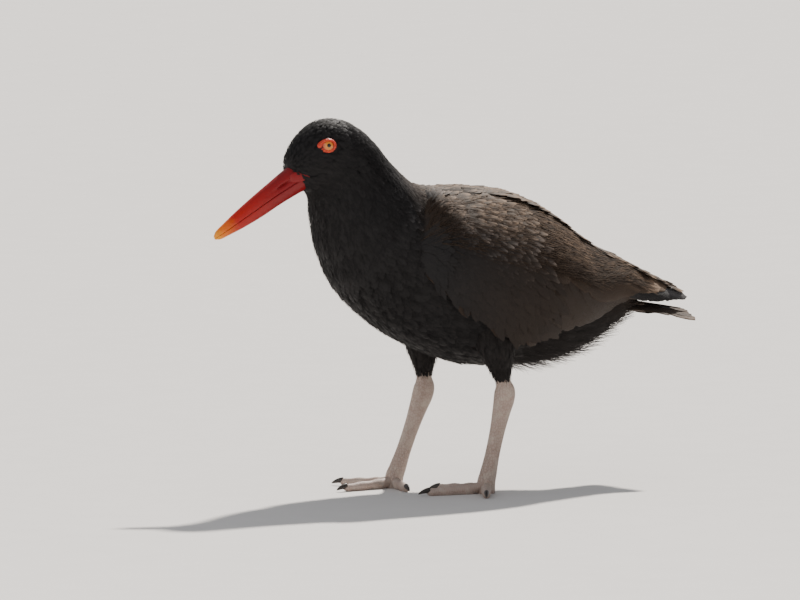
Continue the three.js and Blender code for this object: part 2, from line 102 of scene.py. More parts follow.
camera.matrix_world = Matrix.Translation(to_frame(aim + to_camera * DISTANCE)) @ Matrix(
    (to_right, to_top, to_camera)
).transposed().to_4x4()
bpy.context.scene.camera = camera
print("camera lens", round(camera_data.lens), "mm at", DISTANCE / 1000, "m")

# %% [markdown]
# ## Shader maths
# A small class wraps the output of a shader node, so that `1 - mask` or `a * b` adds the Math
# node by itself. A second class makes a material and adds any other node in one call.


# %% Shader helpers
class Amount:
    """A number that varies over a surface."""

    def __init__(self, socket):
        self.socket = socket

    def math(self, operation, *others):
        node = self.socket.id_data.nodes.new("ShaderNodeMath")
        node.operation = operation
        for target, term in zip(node.inputs, (self, *others)):
            plug(target, term)
        return Amount(node.outputs[0])

    def __add__(self, other):
        return self.math("ADD", other)

    def __mul__(self, other):
        return self.math("MULTIPLY", other)

    def __sub__(self, other):
        return self.math("SUBTRACT", other)

    def __rsub__(self, other):
        return (self * -1) + other

    def __truediv__(self, other):
        return self.math("DIVIDE", other)

    __radd__ = __add__

    def span(self, low, high):
        """0 below low, 1 above high and a smooth step between."""
        tree = self.socket.id_data
        node = tree.nodes.new("ShaderNodeMapRange")
        node.interpolation_type = "SMOOTHSTEP"
        plug(node.inputs["Value"], self)
        plug(node.inputs["From Min"], low)
        plug(node.inputs["From Max"], high)
        return Amount(node.outputs["Result"])


def plug(target, value):
    if isinstance(value, Amount):
        value = value.socket
    if isinstance(value, bpy.types.NodeSocket):
        target.id_data.links.new(value, target)
    else:
        target.default_value = value


class Finish:
    """A material with one Principled shader."""

    def __init__(self, name, **constants):
        self.material = bpy.data.materials.new(name)
        self.material.use_nodes = True
        self.tree = self.material.node_tree
        self.shader = next(n for n in self.tree.nodes if n.type == "BSDF_PRINCIPLED")
        for socket, value in constants.items():
            self.shader.inputs[socket.replace("_", " ")].default_value = value

    def node(self, kind, settings=None, **values):
        node = self.tree.nodes.new("ShaderNode" + kind)
        for name, value in (settings or {}).items():
            if name == "stops":
                elements = node.color_ramp.elements
                while len(elements) < len(value):
                    elements.new(0.5)
                for element, (place, colour) in zip(elements, value):
                    element.position = place
                    element.color = (*colour, 1)
            else:
                setattr(node, name, value)
        for name, value in values.items():
            plug(node.inputs[name.replace("_", " ")], value)
        return node

    def place(self):
        return self.node("TexCoord").outputs["Object"]

    def stretched(self, scale):
        return self.node("Mapping", Vector=self.place(), Scale=scale).outputs[0]

    def noise(self, scale, detail=3, roughness=0.55, vector=None):
        node = self.node(
            "TexNoise", Vector=vector or self.place(), Scale=scale, Detail=detail,
            Roughness=roughness,
        )
        return Amount(node.outputs["Fac"])

    def mix(self, factor, first, second):
        node = self.tree.nodes.new("ShaderNodeMix")
        node.data_type = "RGBA"
        plug(node.inputs["Factor"], factor)
        for target, colour in ((node.inputs[6], first), (node.inputs[7], second)):
            plug(target, (*colour, 1) if isinstance(colour, tuple) else colour)
        return node.outputs[2]

    def away_from(self, spot):
        """How many millimetres a point of the surface lies from one spot."""
        gauge = self.node("VectorMath", {"operation": "DISTANCE"})
        plug(gauge.inputs[0], self.place())
        gauge.inputs[1].default_value = Vector(to_frame(spot))
        return Amount(gauge.outputs["Value"]) / MM

    def attribute(self, name):
        split = self.node(
            "SeparateColor", Color=self.node("Attribute", {"attribute_name": name}).outputs["Color"]
        )
        return [Amount(output) for output in split.outputs]

    def colour(self, socket):
        plug(self.shader.inputs["Base Color"], socket)

    def rough(self, amount):
        plug(self.shader.inputs["Roughness"], amount)

    def bump(self, height, distance, strength=1.0):
        node = self.node("Bump", Height=height, Distance=distance, Strength=strength)
        plug(self.shader.inputs["Normal"], node.outputs["Normal"])


# %% [markdown]
# ## Curves through a few measured rows
# Body and wings are described as the solids are: a few rows of measured values, and a smooth
# curve through each column. Reading the same rows here means that skin and feathers lie exactly
# where the solids are.


# %% Smooth rows
def row_at(keys, rows, at):
    keys, rows = np.asarray(keys, float), np.asarray(rows, float)
    at = np.asarray(at, float)
    last = len(keys) - 1
    here = np.arange(last + 1)
    behind, ahead = np.maximum(here - 1, 0), np.minimum(here + 1, last)
    slopes = (rows[ahead] - rows[behind]) / (keys[ahead] - keys[behind])[:, None]
    i = np.clip(np.searchsorted(keys, at, side="right") - 1, 0, last - 1)
    span = (keys[i + 1] - keys[i])[..., None]
    t = ((at - keys[i]) / (keys[i + 1] - keys[i]))[..., None]
    start, end = slopes[i] * span, slopes[i + 1] * span
    cubic = 2 * rows[i] - 2 * rows[i + 1] + start + end
    square = -3 * rows[i] + 3 * rows[i + 1] - 2 * start - end
    return ((cubic * t + square) * t + start) * t + rows[i]


def columns(table, at):
    """The columns of a table, without its first, read where the first has the given values."""
    return np.moveaxis(row_at(table[:, 0], table[:, 1:], at), -1, 0)


def bell(at, middle, width):
    return np.exp(-(((at - middle) / width) ** 2))


# From the rump forwards: top x and z, bottom x and z, half width.
BODY_ROWS = np.array([
    [128, 118, 128, 118, 0],
    [121, 125, 123, 109, 14],
    [102, 137, 108, 98, 25],
    [80, 153, 84, 85.5, 33],
    [56, 169.5, 58, 79.5, 39.5],
    [28, 183.5, 28, 78.5, 43.5],
    [2, 189, -3, 81, 45.5],
    [-18, 192, -35, 92, 46],
    [-36, 195.5, -63, 107.5, 43.5],
    [-46, 200, -88, 129.5, 37.5],
    [-53, 206, -102, 154, 30.5],
    [-60, 213.5, -108, 174, 24.5],
    [-68, 223, -111, 187.5, 20.5],
    [-79.5, 232.5, -115, 193, 18],
    [-94, 238.3, -119.5, 195, 16.5],
    [-108, 237, -123, 197, 14.4],
    [-120, 229, -126, 199.5, 11],
    [-127.5, 218.5, -128.5, 203.5, 6.8],
    [-130, 210.5, -130, 210.5, 0],
])
BODY_LENGTH = len(BODY_ROWS) - 1
BODY_TABLE = np.hstack([np.arange(BODY_LENGTH + 1)[:, None], BODY_ROWS])


def body_shape(turn, along):
    """A point of the body's outline: turn goes once round from the top, along from rump to brow."""
    key = np.clip(along, 0, 1) * BODY_LENGTH
    top_x, top_z, low_x, low_z, half = columns(BODY_TABLE, key)
    lift, side = np.cos(turn * 2 * math.pi), np.sin(turn * 2 * math.pi)
    fullness = np.sign(side) * np.abs(side) ** 0.93 * (1 + 0.05 * lift)
    return np.stack([
        (top_x + low_x) / 2 + (top_x - low_x) / 2 * lift,
        np.maximum(half, 0) * fullness,
        (top_z + low_z) / 2 + (top_z - low_z) / 2 * lift,
    ], -1)


def unit(vectors):
    return vectors / np.maximum(np.linalg.norm(vectors, axis=-1, keepdims=True), 1e-9)


def beside(lie, out):
    """The direction nearest to lie that is square to out."""
    return unit(lie - out * np.sum(lie * out, -1, keepdims=True))


class Places:
    """Points on a rolled-up form, each with its normal, its lie and its direction across."""

    def __init__(self, shape, turn, along, flow=-1):
        step = 2e-3
        self.shape, self.turn, self.along = shape, turn, along
        self.at = shape(turn, along)
        low, high = np.clip(along - step, 0, 1), np.clip(along + step, 0, 1)
        lie = (shape(turn, high) - shape(turn, low)) * flow
        round_it = shape(turn + step, along) - shape(turn - step, along)
        out = unit(np.cross(lie, round_it))
        middle = (shape(turn, along) + shape(turn + 0.5, along)) / 2
        out *= np.sign(np.sum(out * (self.at - middle), -1, keepdims=True))
        self.out = out
        self.lie = beside(lie, out)
        self.across = np.cross(self.out, self.lie)

    def only(self, keep):
        kept = object.__new__(Places)
        kept.shape = self.shape
        for name in ("turn", "along", "at", "out", "lie", "across"):
            setattr(kept, name, getattr(self, name)[keep])
        return kept

    def __len__(self):
        return len(self.turn)


# %% [markdown]
# ## Rolled-up forms
# The skin, the bill, the legs and the toes are all closed tubes whose section changes. A flat
# grid from one operator is rolled up: its corners are moved, the seam and the poles are merged,
# open ends are filled, and the normals are turned outwards. The grid keeps its own map, for
# patterns that follow the form.


# %% Rolling and finishing
def link(name, mesh, material, replaces=()):
    piece = bpy.data.objects.new(name, mesh)
    bpy.context.collection.objects.link(piece)
    mesh.materials.append(material)
    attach(piece, "root")
    if replaces:
        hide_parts(*replaces)
    return piece


def rolled(name, across, along, shape):
    sheet = bmesh.new()
    bmesh.ops.create_grid(sheet, x_segments=across, y_segments=along, size=0.5)
    corners = np.array([v.co[:] for v in sheet.verts]) + 0.5
    form_map = sheet.loops.layers.uv.new("form")
    for face in sheet.faces:
        for loop in face.loops:
            loop[form_map].uv = loop.vert.co.xy + Vector((0.5, 0.5))
    for vert, at in zip(sheet.verts, to_frame(shape(corners[:, 0], corners[:, 1]))):
        vert.co = at
    bmesh.ops.remove_doubles(sheet, verts=sheet.verts, dist=2e-6)
    bmesh.ops.dissolve_degenerate(sheet, edges=sheet.edges, dist=1e-7)
    bmesh.ops.holes_fill(sheet, edges=sheet.edges)
    bmesh.ops.recalc_face_normals(sheet, faces=sheet.faces)
    for face in sheet.faces:
        face.smooth = True
    mesh = bpy.data.meshes.new(name)
    sheet.to_mesh(mesh)
    sheet.free()
    return mesh


# %% [markdown]
# ## Plumage colours
# The bird is slaty black on head and breast and dark brown on the back and wings,
# where sun and salt bleach the feather tips; the paler tips are laid on most where the plumage
# faces up and back towards the sun, which is painted sunlight. Each feather carries three numbers
# in one colour attribute: a tone of its own, the way from root to tip scaled by that bleaching and
# painted sunlight, and how brown its region is. The same finish serves the skin below, where those
# numbers are even.

# %% Plumage finish
# Tip colours of the paler fringes; they are laid on most on sun-facing plumage, as painted
# sunlight.
SLATE = (0.0138, 0.0128, 0.0132)
SLATE_TIP = (0.1600, 0.1540, 0.1600)
UMBER = (0.0370, 0.0235, 0.0150)
UMBER_TIP = (0.2900, 0.1920, 0.1250)


def plumage(name, barbs=False):
    finish = Finish(name, Specular_IOR_Level=0.14, Sheen_Weight=0.02, Sheen_Roughness=0.5)
    tone, way, brown = finish.attribute("plume")
    mottle = finish.noise(55, detail=4)
    patch = finish.noise(14, detail=2)
    # Paler feather tips, from bleaching and from painted sunlight on sun-facing plumage, carried in
    # the way channel.
    paling = way.span(0.45, 1.0) * (0.25 + tone * 0.75) * (0.3 + mottle)
    dark = finish.mix(paling, SLATE, SLATE_TIP)
    warm = finish.mix(paling, UMBER, UMBER_TIP)
    base = finish.mix(brown * (0.7 + patch * 0.6).math("MINIMUM", 1.0), dark, warm)
    shade = finish.mix(tone * 0.6 + mottle * 0.4, (0.84, 0.84, 0.84), (1.14, 1.13, 1.12))
    product = finish.node("Mix", {"data_type": "RGBA", "blend_type": "MULTIPLY"})
    product.inputs["Factor"].default_value = 1
    plug(product.inputs[6], base)
    plug(product.inputs[7], shade)
    finish.colour(product.outputs[2])
    finish.rough(0.55 + mottle * 0.25)
    if barbs:
        vane = finish.node("UVMap", {"uv_map": "vane"}).outputs["UV"]
        split = finish.node("SeparateXYZ", Vector=vane)
        way_up, over = Amount(split.outputs[0]), Amount(split.outputs[1])
        from_shaft = (over - 0.5).math("ABSOLUTE")
        lines = ((way_up * 8 - from_shaft * 2.4) * 62).math("SINE")
        ragged = finish.noise(900, detail=2)
        finish.bump(lines * 0.4 + ragged * 0.8, 0.00016, 0.6)
    else:
        fine = finish.noise(700, detail=2, roughness=0.7)
        finish.bump(fine, 0.00025, 0.4)
    return finish.material


body_plumage = plumage("body_plumage")
vane_plumage = plumage("vane_plumage", barbs=True)

# %% [markdown]
# ## The skin
# Under the feathers lies one unbroken skin from rump to brow, so that no seam of the solids
# shows. It is the body's own shape drawn in by the depth of the coat, and it takes the place of
# the head, neck, torso and rump solids.

# %% Skin
COAT_DEPTHS = np.array([
    [0, 1.4], [0.2, 2.6], [0.45, 2.6], [0.62, 2.2], [0.75, 1.5], [0.9, 1.0], [1, 0.6],
])


def coat_depth(along):
    return columns(COAT_DEPTHS, np.clip(along, 0, 1))[0]


def skin_shape(turn, along):
    places = Places(body_shape, turn, np.clip(along, 0.004, 0.996))
    return places.at - places.out * coat_depth(along)[..., None]


def wear_and_painted_sun(outwards):
    """The share of paler feather tips, from bleaching and painted sunlight: full where the plumage
    faces up and back towards the sun, little below.
    """
    # Facing up and back towards the sun: paler tips here are partly painted sunlight.
    skyward = outwards[..., 2] * 0.86 + outwards[..., 0] * 0.5
    return 0.36 + 0.64 * np.clip(skyward * 1.35, 0, 1)


def set_plume(mesh, tone, way, brown):
    layer = mesh.attributes.new("plume", "FLOAT_COLOR", "POINT")
    full = np.ones((len(mesh.vertices), 4), np.float32)
    full[:, 0], full[:, 1], full[:, 2] = tone, way, brown
    layer.data.foreach_set("color", full.ravel())


def brown_share(points):
    """How brown the plumage is: the back behind the neck, not the head, breast or belly."""
    x, z = points[..., 0], points[..., 2]
    behind = np.clip((x + 62) / 26, 0, 1)
    above = np.clip((z - 128 + 0.25 * (x + 20)) / 34, 0, 1)
    return behind * above * 0.9 + 0.12 * np.clip((x + 20) / 60, 0, 1)


skin_mesh = rolled("skin", 96, 150, skin_shape)
skin_mesh.uv_layers["form"].name = "OFBake"
skin_places = np.array([v.co[:] for v in skin_mesh.vertices]) / MM - SHIFT
set_plume(skin_mesh, 0.2, 0.1, brown_share(skin_places))
link("skin", skin_mesh, body_plumage, ("head", "neck", "torso", "rump"))
print("skin faces", len(skin_mesh.polygons))

# %% [markdown]
# ## Body feathers
# Each small feather is one thin closed blade with a low ridge for its shaft, extruded from a
# triangle and drawn in to its tip. Thousands of copies are laid in rows over the body like tiles,
# roots sunk in the skin and tips lifted, so each row covers the roots of the row behind it.
# Hair-thin strands go over them, so that the edge of the plumage is soft.


# %% One feather and one strand
def arrays_of(form):
    """The corners and the faces of a form, which is freed."""
    form.verts.index_update()
    verts = np.array([v.co[:] for v in form.verts])
    faces = np.array([[v.index for v in f.verts] for f in form.faces])
    form.free()
    return verts, faces


def extruded(stations):
    """A three-sided closed form along X: each station gives x, half width and ridge height."""
    form = bmesh.new()
    corners = bmesh.ops.create_circle(form, segments=3, radius=1, cap_ends=True)["verts"]
    form.faces.ensure_lookup_table()
    face = form.faces[0]
    for number, (x, half, ridge) in enumerate(stations):
        if number:
            moved = bmesh.ops.extrude_face_region(form, geom=[face])
            if number > 1:
                bmesh.ops.delete(form, geom=[face], context="FACES_ONLY")
            face = next(g for g in moved["geom"] if isinstance(g, bmesh.types.BMFace))
            corners = list(face.verts)
        for corner, (y, up) in zip(corners, ((-half, 0), (0, ridge), (half, 0))):
            corner.co = (x, y, up)
    bmesh.ops.recalc_face_normals(form, faces=form.faces)
    bmesh.ops.triangulate(form, faces=form.faces)
    return arrays_of(form)


BLADE = extruded([(0, 0.18, 0.14), (0.35, 0.46, 0.1), (0.72, 0.5, 0.07), (1, 0.12, 0.02)])
STRAND = extruded([(0, 0.5, 0.8), (0.5, 0.4, 0.6), (1, 0.05, 0.05)])


# %% Meshes of many copies
def mesh_of(name, places, faces):
    """One smooth mesh with a copy of the faces for each row of places, and its corner numbers."""
    count, size = places.shape[:2]
    order = (faces + np.arange(count)[:, None, None] * size).reshape(-1, 3)
    mesh = bpy.data.meshes.new(name)
    mesh.from_pydata(to_frame(places.reshape(-1, 3)), [], order)
    mesh.polygons.foreach_set("use_smooth", np.ones(len(mesh.polygons), bool))
    return mesh, order


def set_map(mesh, name, values, order):
    layer = mesh.uv_layers.new(name=name)
    layer.data.foreach_set("uv", values[order.ravel()].ravel())


def soften(mesh, outwards, share):
    """Turns the shading of each feather towards the form that it lies on, as loose barbs do."""
    own = np.empty(len(mesh.vertices) * 3, np.float32)
    mesh.vertices.foreach_get("normal", own)
    turned = unit(own.reshape(-1, 3) * (1 - share) + outwards * share)
    mesh.normals_split_custom_set_from_vertices(turned)


# %% Laying rows of feathers
FLOOR_CLEARANCE = 0.2
MAP_PATCH = 0.003
dice = np.random.default_rng(7)


def rows_over(shape, start, end, gap, across=0.9, flow=-1):
    """Staggered places from start to end along a form, in rows a gap of millimetres apart."""
    turns, alongs = [], []
    along, row, step = start, 0, 0.002
    ring = np.linspace(0, 1, 25)
    while along < end:
        here = shape(ring, np.full(25, along))
        girth = np.linalg.norm(np.diff(here, axis=0), axis=1).sum()
        count = max(3, int(girth / (gap * across)))
        shifts = dice.uniform(-0.35, 0.35, (2, count))
        turns.append((np.arange(count) + 0.5 * (row % 2) + shifts[0]) / count)
        ahead = shape(ring[6:19], np.full(13, min(along + step, 1)))
        speed = max(np.linalg.norm(ahead - here[6:19], axis=1).mean() / step, 1)
        alongs.append(along + shifts[1] * gap / speed)
        along += gap / speed
        row += 1
    along = np.clip(np.concatenate(alongs), 0.003, 0.997)
    return Places(shape, np.concatenate(turns) % 1, along, flow)


def laid(name, form, places, length, width, sink, rise, brown, bend=0.0, sway=0.2, soft=0.8):
    """A piece with a copy of the form at each place, its root sunk and its tip raised."""
    verts, faces = form
    count = len(places)
    width, sink = (np.broadcast_to(size, count)[:, None] for size in (width, sink))
    turned = dice.normal(0, sway, count)[:, None]
    lie = places.lie * np.cos(turned) + places.across * np.sin(turned)
    across = np.cross(places.out, lie)
    x, y, z = verts.T
    along = x * length[:, None]
    lift = (sink + rise[:, None]) * x**0.8 - sink - bend * length[:, None] * x**2
    at = (
        places.at[:, None]
        + lie[:, None] * along[..., None]
        + across[:, None] * (y * width)[..., None]
        + places.out[:, None] * (lift + z * width)[..., None]
    )
    at[..., 2] = np.maximum(at[..., 2], FLOOR_CLEARANCE)
    mesh, order = mesh_of(name, at, faces)
    tone = np.repeat(dice.uniform(0, 1, count), len(verts))
    # Root to tip, scaled by bleaching and by painted sunlight on the sun-facing side.
    way = x * wear_and_painted_sun(places.out)[:, None]
    set_plume(mesh, tone, way.ravel(), np.repeat(np.broadcast_to(brown, count), len(verts)))
    roots = np.stack([places.turn, places.along], -1)[:, None]
    spread = roots + np.stack([x - 0.5, y], -1) * MAP_PATCH
    set_map(mesh, "OFBake", np.clip(spread, 0.001, 0.999).reshape(-1, 2), order)
    soften(mesh, np.repeat(places.out, len(verts), 0), soft)
    print(name, count, "feathers,", len(mesh.polygons), "faces")
    link(name, mesh, body_plumage)


# %% Bare places
# x, then the y and z of the wing's upper edge, of its fullest point and of its lower edge.
WING_ROWS = np.array([
    [-60, 33, 167, 36.5, 158, 36, 149],
    [-45, 27, 186, 46, 162, 45, 132],
    [-20, 17, 191, 50.5, 156, 48.5, 114],
    [14, 13, 189.5, 52.5, 147, 48, 98],
    [38, 12, 184, 51.5, 142, 46, 100],
    [60, 11, 174, 47.5, 135.5, 43, 103.5],
    [80, 10, 161.5, 40, 130, 37.5, 107],
    [95, 9.5, 152, 33.5, 129.5, 31.5, 112],
    [108, 9, 146, 28, 129, 27, 116],
    [125, 8.5, 138, 22.5, 124, 24, 115],
    [140, 8, 131, 18, 120.5, 19.5, 114],
    [155, 7.5, 124, 14, 117.5, 15.5, 111.5],
    [172, 7, 117, 10, 113, 11, 109],
])


def under_wing(points):
    x, y, z = points[..., 0], np.abs(points[..., 1]), points[..., 2]
    up_y, up_z, _, _, _, low_z = columns(WING_ROWS, np.clip(x, -60, 150))
    return (x > -50) & (x < 140) & (z > low_z + 9) & (z < up_z - 3) & (y > up_y + 4)


def round_eye(points):
    """How near a point lies to the edge of the eye's bare ring: 1 on it, less inside."""
    x, z = points[..., 0] - EYE_AT[0], points[..., 2] - EYE_AT[2]
    return np.hypot((x + 1.3) / 8.3, z / 5.1)


def near_gape(points):
    """How near a point lies to the bare corner of the mouth: 1 at its edge."""
    return np.hypot((points[..., 0] + 119.5) / 5.0, (points[..., 2] - 205.2) / 2.2)


# %% Coat of the body
FEATHER_LENGTHS = np.array([
    [0, 17], [0.12, 18], [0.3, 17], [0.45, 14], [0.56, 11], [0.66, 8], [0.75, 5.6], [0.88, 4.2],
    [1, 2.6],
])


def feather_length(along):
    return columns(FEATHER_LENGTHS, along)[0]


def body_places(start, end, gap, eye_edge):
    places = rows_over(body_shape, start, end, gap)
    bare = (round_eye(places.at) <= eye_edge) | (near_gape(places.at) <= 1)
    return places.only(~(under_wing(places.at) | bare))


for name, start, end, gap, sink in (
    ("head", 0.70, 0.985, 1.75, 0.75),
    ("neck", 0.52, 0.71, 2.7, 0.65),
    ("breast", 0.33, 0.53, 3.6, 1.3),
    ("belly", 0.02, 0.34, 4.2, 1.3),
):
    places = body_places(start, end, gap, 1.0)
    depth = coat_depth(places.along)
    length = feather_length(places.along) * dice.uniform(0.8, 1.15, len(places))
    width = length * dice.uniform(0.42, 0.55, len(places))
    rise = depth * dice.uniform(-0.25, 0.12, len(places))
    laid(
        "coat_" + name, BLADE, places, length, width, depth * sink, rise,
        brown_share(places.at), bend=0.05,
    )

# %% [markdown]
# ## Loose strands
# Seen against the light the edge of a bird is soft, because the free barbs of each feather stand
# apart. Strands a third of a millimetre thick give that edge, short on the head, longer down the
# neck and breast, and long and raised round the vent.


# %% Strands
def behind_legs(points):
    return (points[..., 0] > 26) & (points[..., 2] < 112)


def on_nape(points):
    ridge = 200 - 0.79 * (points[..., 0] + 46)
    return (points[..., 0] > -92) & (points[..., 2] > ridge - 17)


for name, start, end, gap, reach, rise, sink, wanted in (
    ("head", 0.70, 0.97, 1.35, 0.8, 0.35, 0.6, None),
    ("neck", 0.53, 0.71, 1.6, 0.8, 0.45, 0.6, None),
    ("breast", 0.30, 0.53, 2.0, 0.75, 0.35, 0.6, None),
    ("belly", 0.03, 0.30, 2.0, 0.8, 0.6, 0.6, None),
    ("vent", 0.06, 0.28, 2.4, 1.2, 2.6, 0.6, behind_legs),
    ("nape", 0.52, 0.8, 1.4, 0.9, 0.35, 0.05, on_nape),
):
    places = body_places(start, end, gap, 1.04)
    if wanted:
        places = places.only(wanted(places.at))
    count = len(places)
    length = feather_length(places.along) * reach * dice.uniform(0.7, 1.2, count)
    width = 0.34 * dice.uniform(0.7, 1.2, count)
    depth = coat_depth(places.along)
    laid(
        "strands_" + name, STRAND, places, length, width, depth * sink,
        depth * rise * dice.uniform(0.2, 1.2, count), brown_share(places.at), bend=0.03, sway=0.26,
    )

# %% [markdown]
# ## Vanes of the folded wing
# The large feathers are modelled one by one: a grid bent over the wing, narrow at the root and
# round at the tip, ridged along the shaft, given a thickness by the solidify operator, and frayed
# a little at the edge. They lie in tiers, the inner ones over the outer ones as in the real wing:
# primaries at the bottom, then secondaries, tertials, the rows of coverts, and scapulars.

# %% The surface of the wing
SHOULDER_RISE = 0.9


def wing_point(x, down, out):
    """A point of the folded wing: x, the way down its arc and the height above it."""
    up_y, up_z, side_y, side_z, low_y, low_z = columns(WING_ROWS, x)
    pull_y, pull_z = 2 * side_y - (up_y + low_y) / 2, 2 * side_z - (up_z + low_z) / 2
    rest = 1 - down
    y = rest**2 * up_y + 2 * rest * down * pull_y + down**2 * low_y
    z = rest**2 * up_z + 2 * rest * down * pull_z + down**2 * low_z
    slope_y = 2 * rest * (pull_y - up_y) + 2 * down * (low_y - pull_y)
    slope_z = 2 * rest * (pull_z - up_z) + 2 * down * (low_z - pull_z)
    ease = np.clip(x / 50, 0, 1)
    clear = (out + SHOULDER_RISE * (1 - ease * ease * (3 - 2 * ease))) / np.hypot(slope_y, slope_z)
    return np.stack([x, y - slope_z * clear, z + slope_y * clear], -1)


def wing_out(x, down):
    """The direction straight out of the folded wing."""
    along = wing_point(x + 2, down, 0) - wing_point(x - 2, down, 0)
    around = wing_point(x, down + 0.02, 0) - wing_point(x, down - 0.02, 0)
    return -unit(np.cross(around, along))


def arc_length(x):
    steps = np.linspace(0, 1, 7)
    arcs = wing_point(np.repeat(x[..., None], 7, -1), np.broadcast_to(steps, x.shape + (7,)), 0)
    return np.linalg.norm(np.diff(arcs, axis=-2), axis=-1).sum(-1)


# %% One vane as a flat pattern
def vane_pattern(long=24, wide=8):
    """Corner places as way along (0 to 1), side (-1 to 1) and depth (0 top, 1 underside)."""
    form = bmesh.new()
    bmesh.ops.create_grid(form, x_segments=long, y_segments=wide, size=1)
    bmesh.ops.solidify(form, geom=form.verts[:] + form.edges[:] + form.faces[:], thickness=0.5)
    bmesh.ops.triangulate(form, faces=form.faces)
    verts, faces = arrays_of(form)
    under = (np.abs(verts[:, 2]) > 0.25).astype(float)
    if verts[under > 0, 2].mean() > 0:
        under = 1 - under
    return np.clip((verts[:, 0] + 1) / 2, 0, 1), np.clip(verts[:, 1], -1, 1), under, faces


def vane_width(way, blunt):
    swell = 0.5 + 0.5 * np.sin(np.clip(way / 0.5, 0, 1) * math.pi / 2)
    past = np.clip((way - blunt) / (1 - blunt), 0, 1)
    return swell * np.sqrt(np.maximum(1 - past**2.2, 0)) + 0.02


VANE = vane_pattern()


# %% Sets of vanes
def tier(count, root, tip, half, lift, **more):
    """Vanes side by side; root and tip are given for the first and the last of them."""
    # The paling scale thins a tier's paler tips, which are bleaching and painted sunlight.
    rest = {"brown": 1.0, "blunt": 0.72, "thick": 0.5, "wear": 1.0, "stray": (1.2, 0.012), **more}
    return {"count": count, "root": root, "tip": tip, "half": half, "lift": lift, **rest}


def one_vane(root, tip, half, lift, **more):
    return tier(1, [root] * 2, [tip] * 2, half, lift, **more)


def vane_rows(tiers, dice):
    """The values of every vane, one row each."""
    rows = []
    for tier in tiers:
        n = tier["count"]
        share = (np.arange(n) / max(n - 1, 1))[:, None]
        root, tip = (
            np.array(tier[end][0]) * (1 - share) + np.array(tier[end][1]) * share
            for end in ("root", "tip")
        )
        rows.append(np.hstack([
            root,
            tip + dice.normal(0, 1, (n, 2)) * tier["stray"],
            tier["half"] * dice.uniform(0.92, 1.08, (n, 1)),
            np.tile(tier["lift"], (n, 1)) + dice.normal(0, 0.12, (n, 1)),
            tier["brown"] * dice.uniform(0.85, 1.0, (n, 1)),
            np.tile([tier["blunt"], tier["thick"], tier["wear"]], (n, 1)),
        ]))
    return np.split(np.concatenate(rows), [2, 4, 5, 7, 8, 9, 10], axis=1)


def vane_set(name, tiers, side, surface, replaces, seed):
    """All the tiers of one wing, or the tail, as one mesh of closed vanes."""
    dice = np.random.default_rng(seed)
    way, across, under, faces = VANE
    root, tip, half, lift, brown, blunt, thick, wear = vane_rows(tiers, dice)
    count = len(root)
    edge = np.abs(across) ** 3
    fray = dice.normal(0, 1, (count, len(way)))
    wide = vane_width(way, blunt) * (1 + edge * fray * 0.05)
    slit = dice.uniform(0.35, 0.9, (count, 2))
    for k in range(2):
        one_side = across * (1 if k else -1) > 0.4
        wide = wide * (1 - 0.4 * bell(way, slit[:, k : k + 1], 0.025) * one_side * edge)
    places, outwards = surface(root, tip, half, lift, way, across, wide, under * thick)
    places[..., 1] *= side
    outwards[..., 1] *= side
    mesh, order = mesh_of(name, places, faces[:, ::side])
    tone = np.repeat(dice.uniform(0, 1, count), len(way))
    # Paler tips from bleaching, and painted sunlight on vanes turned towards the sun.
    paling = (way * wear_and_painted_sun(outwards) * wear).ravel()
    set_plume(mesh, tone, paling, np.repeat(brown, len(way)))
    pattern = np.tile(np.stack([way, across / 2 + 0.5], -1), (count, 1))
    grid = math.ceil(math.sqrt(count))
    cell = np.stack([np.arange(count) % grid, np.arange(count) // grid], -1)
    set_map(mesh, "OFBake", (np.repeat(cell, len(way), 0) + 0.05 + pattern * 0.9) / grid, order)
    set_map(mesh, "vane", pattern, order)
    mesh.uv_layers.active = mesh.uv_layers["OFBake"]
    shell = bmesh.new()
    shell.from_mesh(mesh)
    bmesh.ops.recalc_face_normals(shell, faces=shell.faces)
    shell.to_mesh(mesh)
    shell.free()
    soften(mesh, outwards.reshape(-1, 3), 0.55)
    print(name, count, "vanes,", len(mesh.polygons), "faces")
    link(name, mesh, vane_plumage, replaces)


def on_wing(root, tip, half, lift, way, across, wide, depth):
    """Bends flat vanes over the folded wing."""
    x = root[:, :1] + (tip[:, :1] - root[:, :1]) * way
    sag = np.sin(way * math.pi) * 0.02
    down = root[:, 1:] + (tip[:, 1:] - root[:, 1:]) * way + sag
    length = arc_length(x)
    step = unit(np.stack([(tip - root)[:, :1] + 0 * x, (tip - root)[:, 1:] * length], -1))
    reach = across * half * wide
    height = lift[:, :1] + (lift[:, 1:] - lift[:, :1]) * way
    ridge = 0.2 * bell(across, 0, 0.12) * (1 - way * 0.7)
    camber = -0.2 * across**2
    tilt = across * 0.3
    settled = np.maximum(np.clip(0.25 + down * 7, 0, 1), np.clip(height / 5, 0, 1))
    out = (height + ridge + camber + tilt) * settled - depth * (1 - 0.4 * way)
    at_x, at_down = x - step[..., 1] * reach, down + step[..., 0] * reach / length
    return wing_point(at_x, at_down, out), wing_out(at_x, at_down)


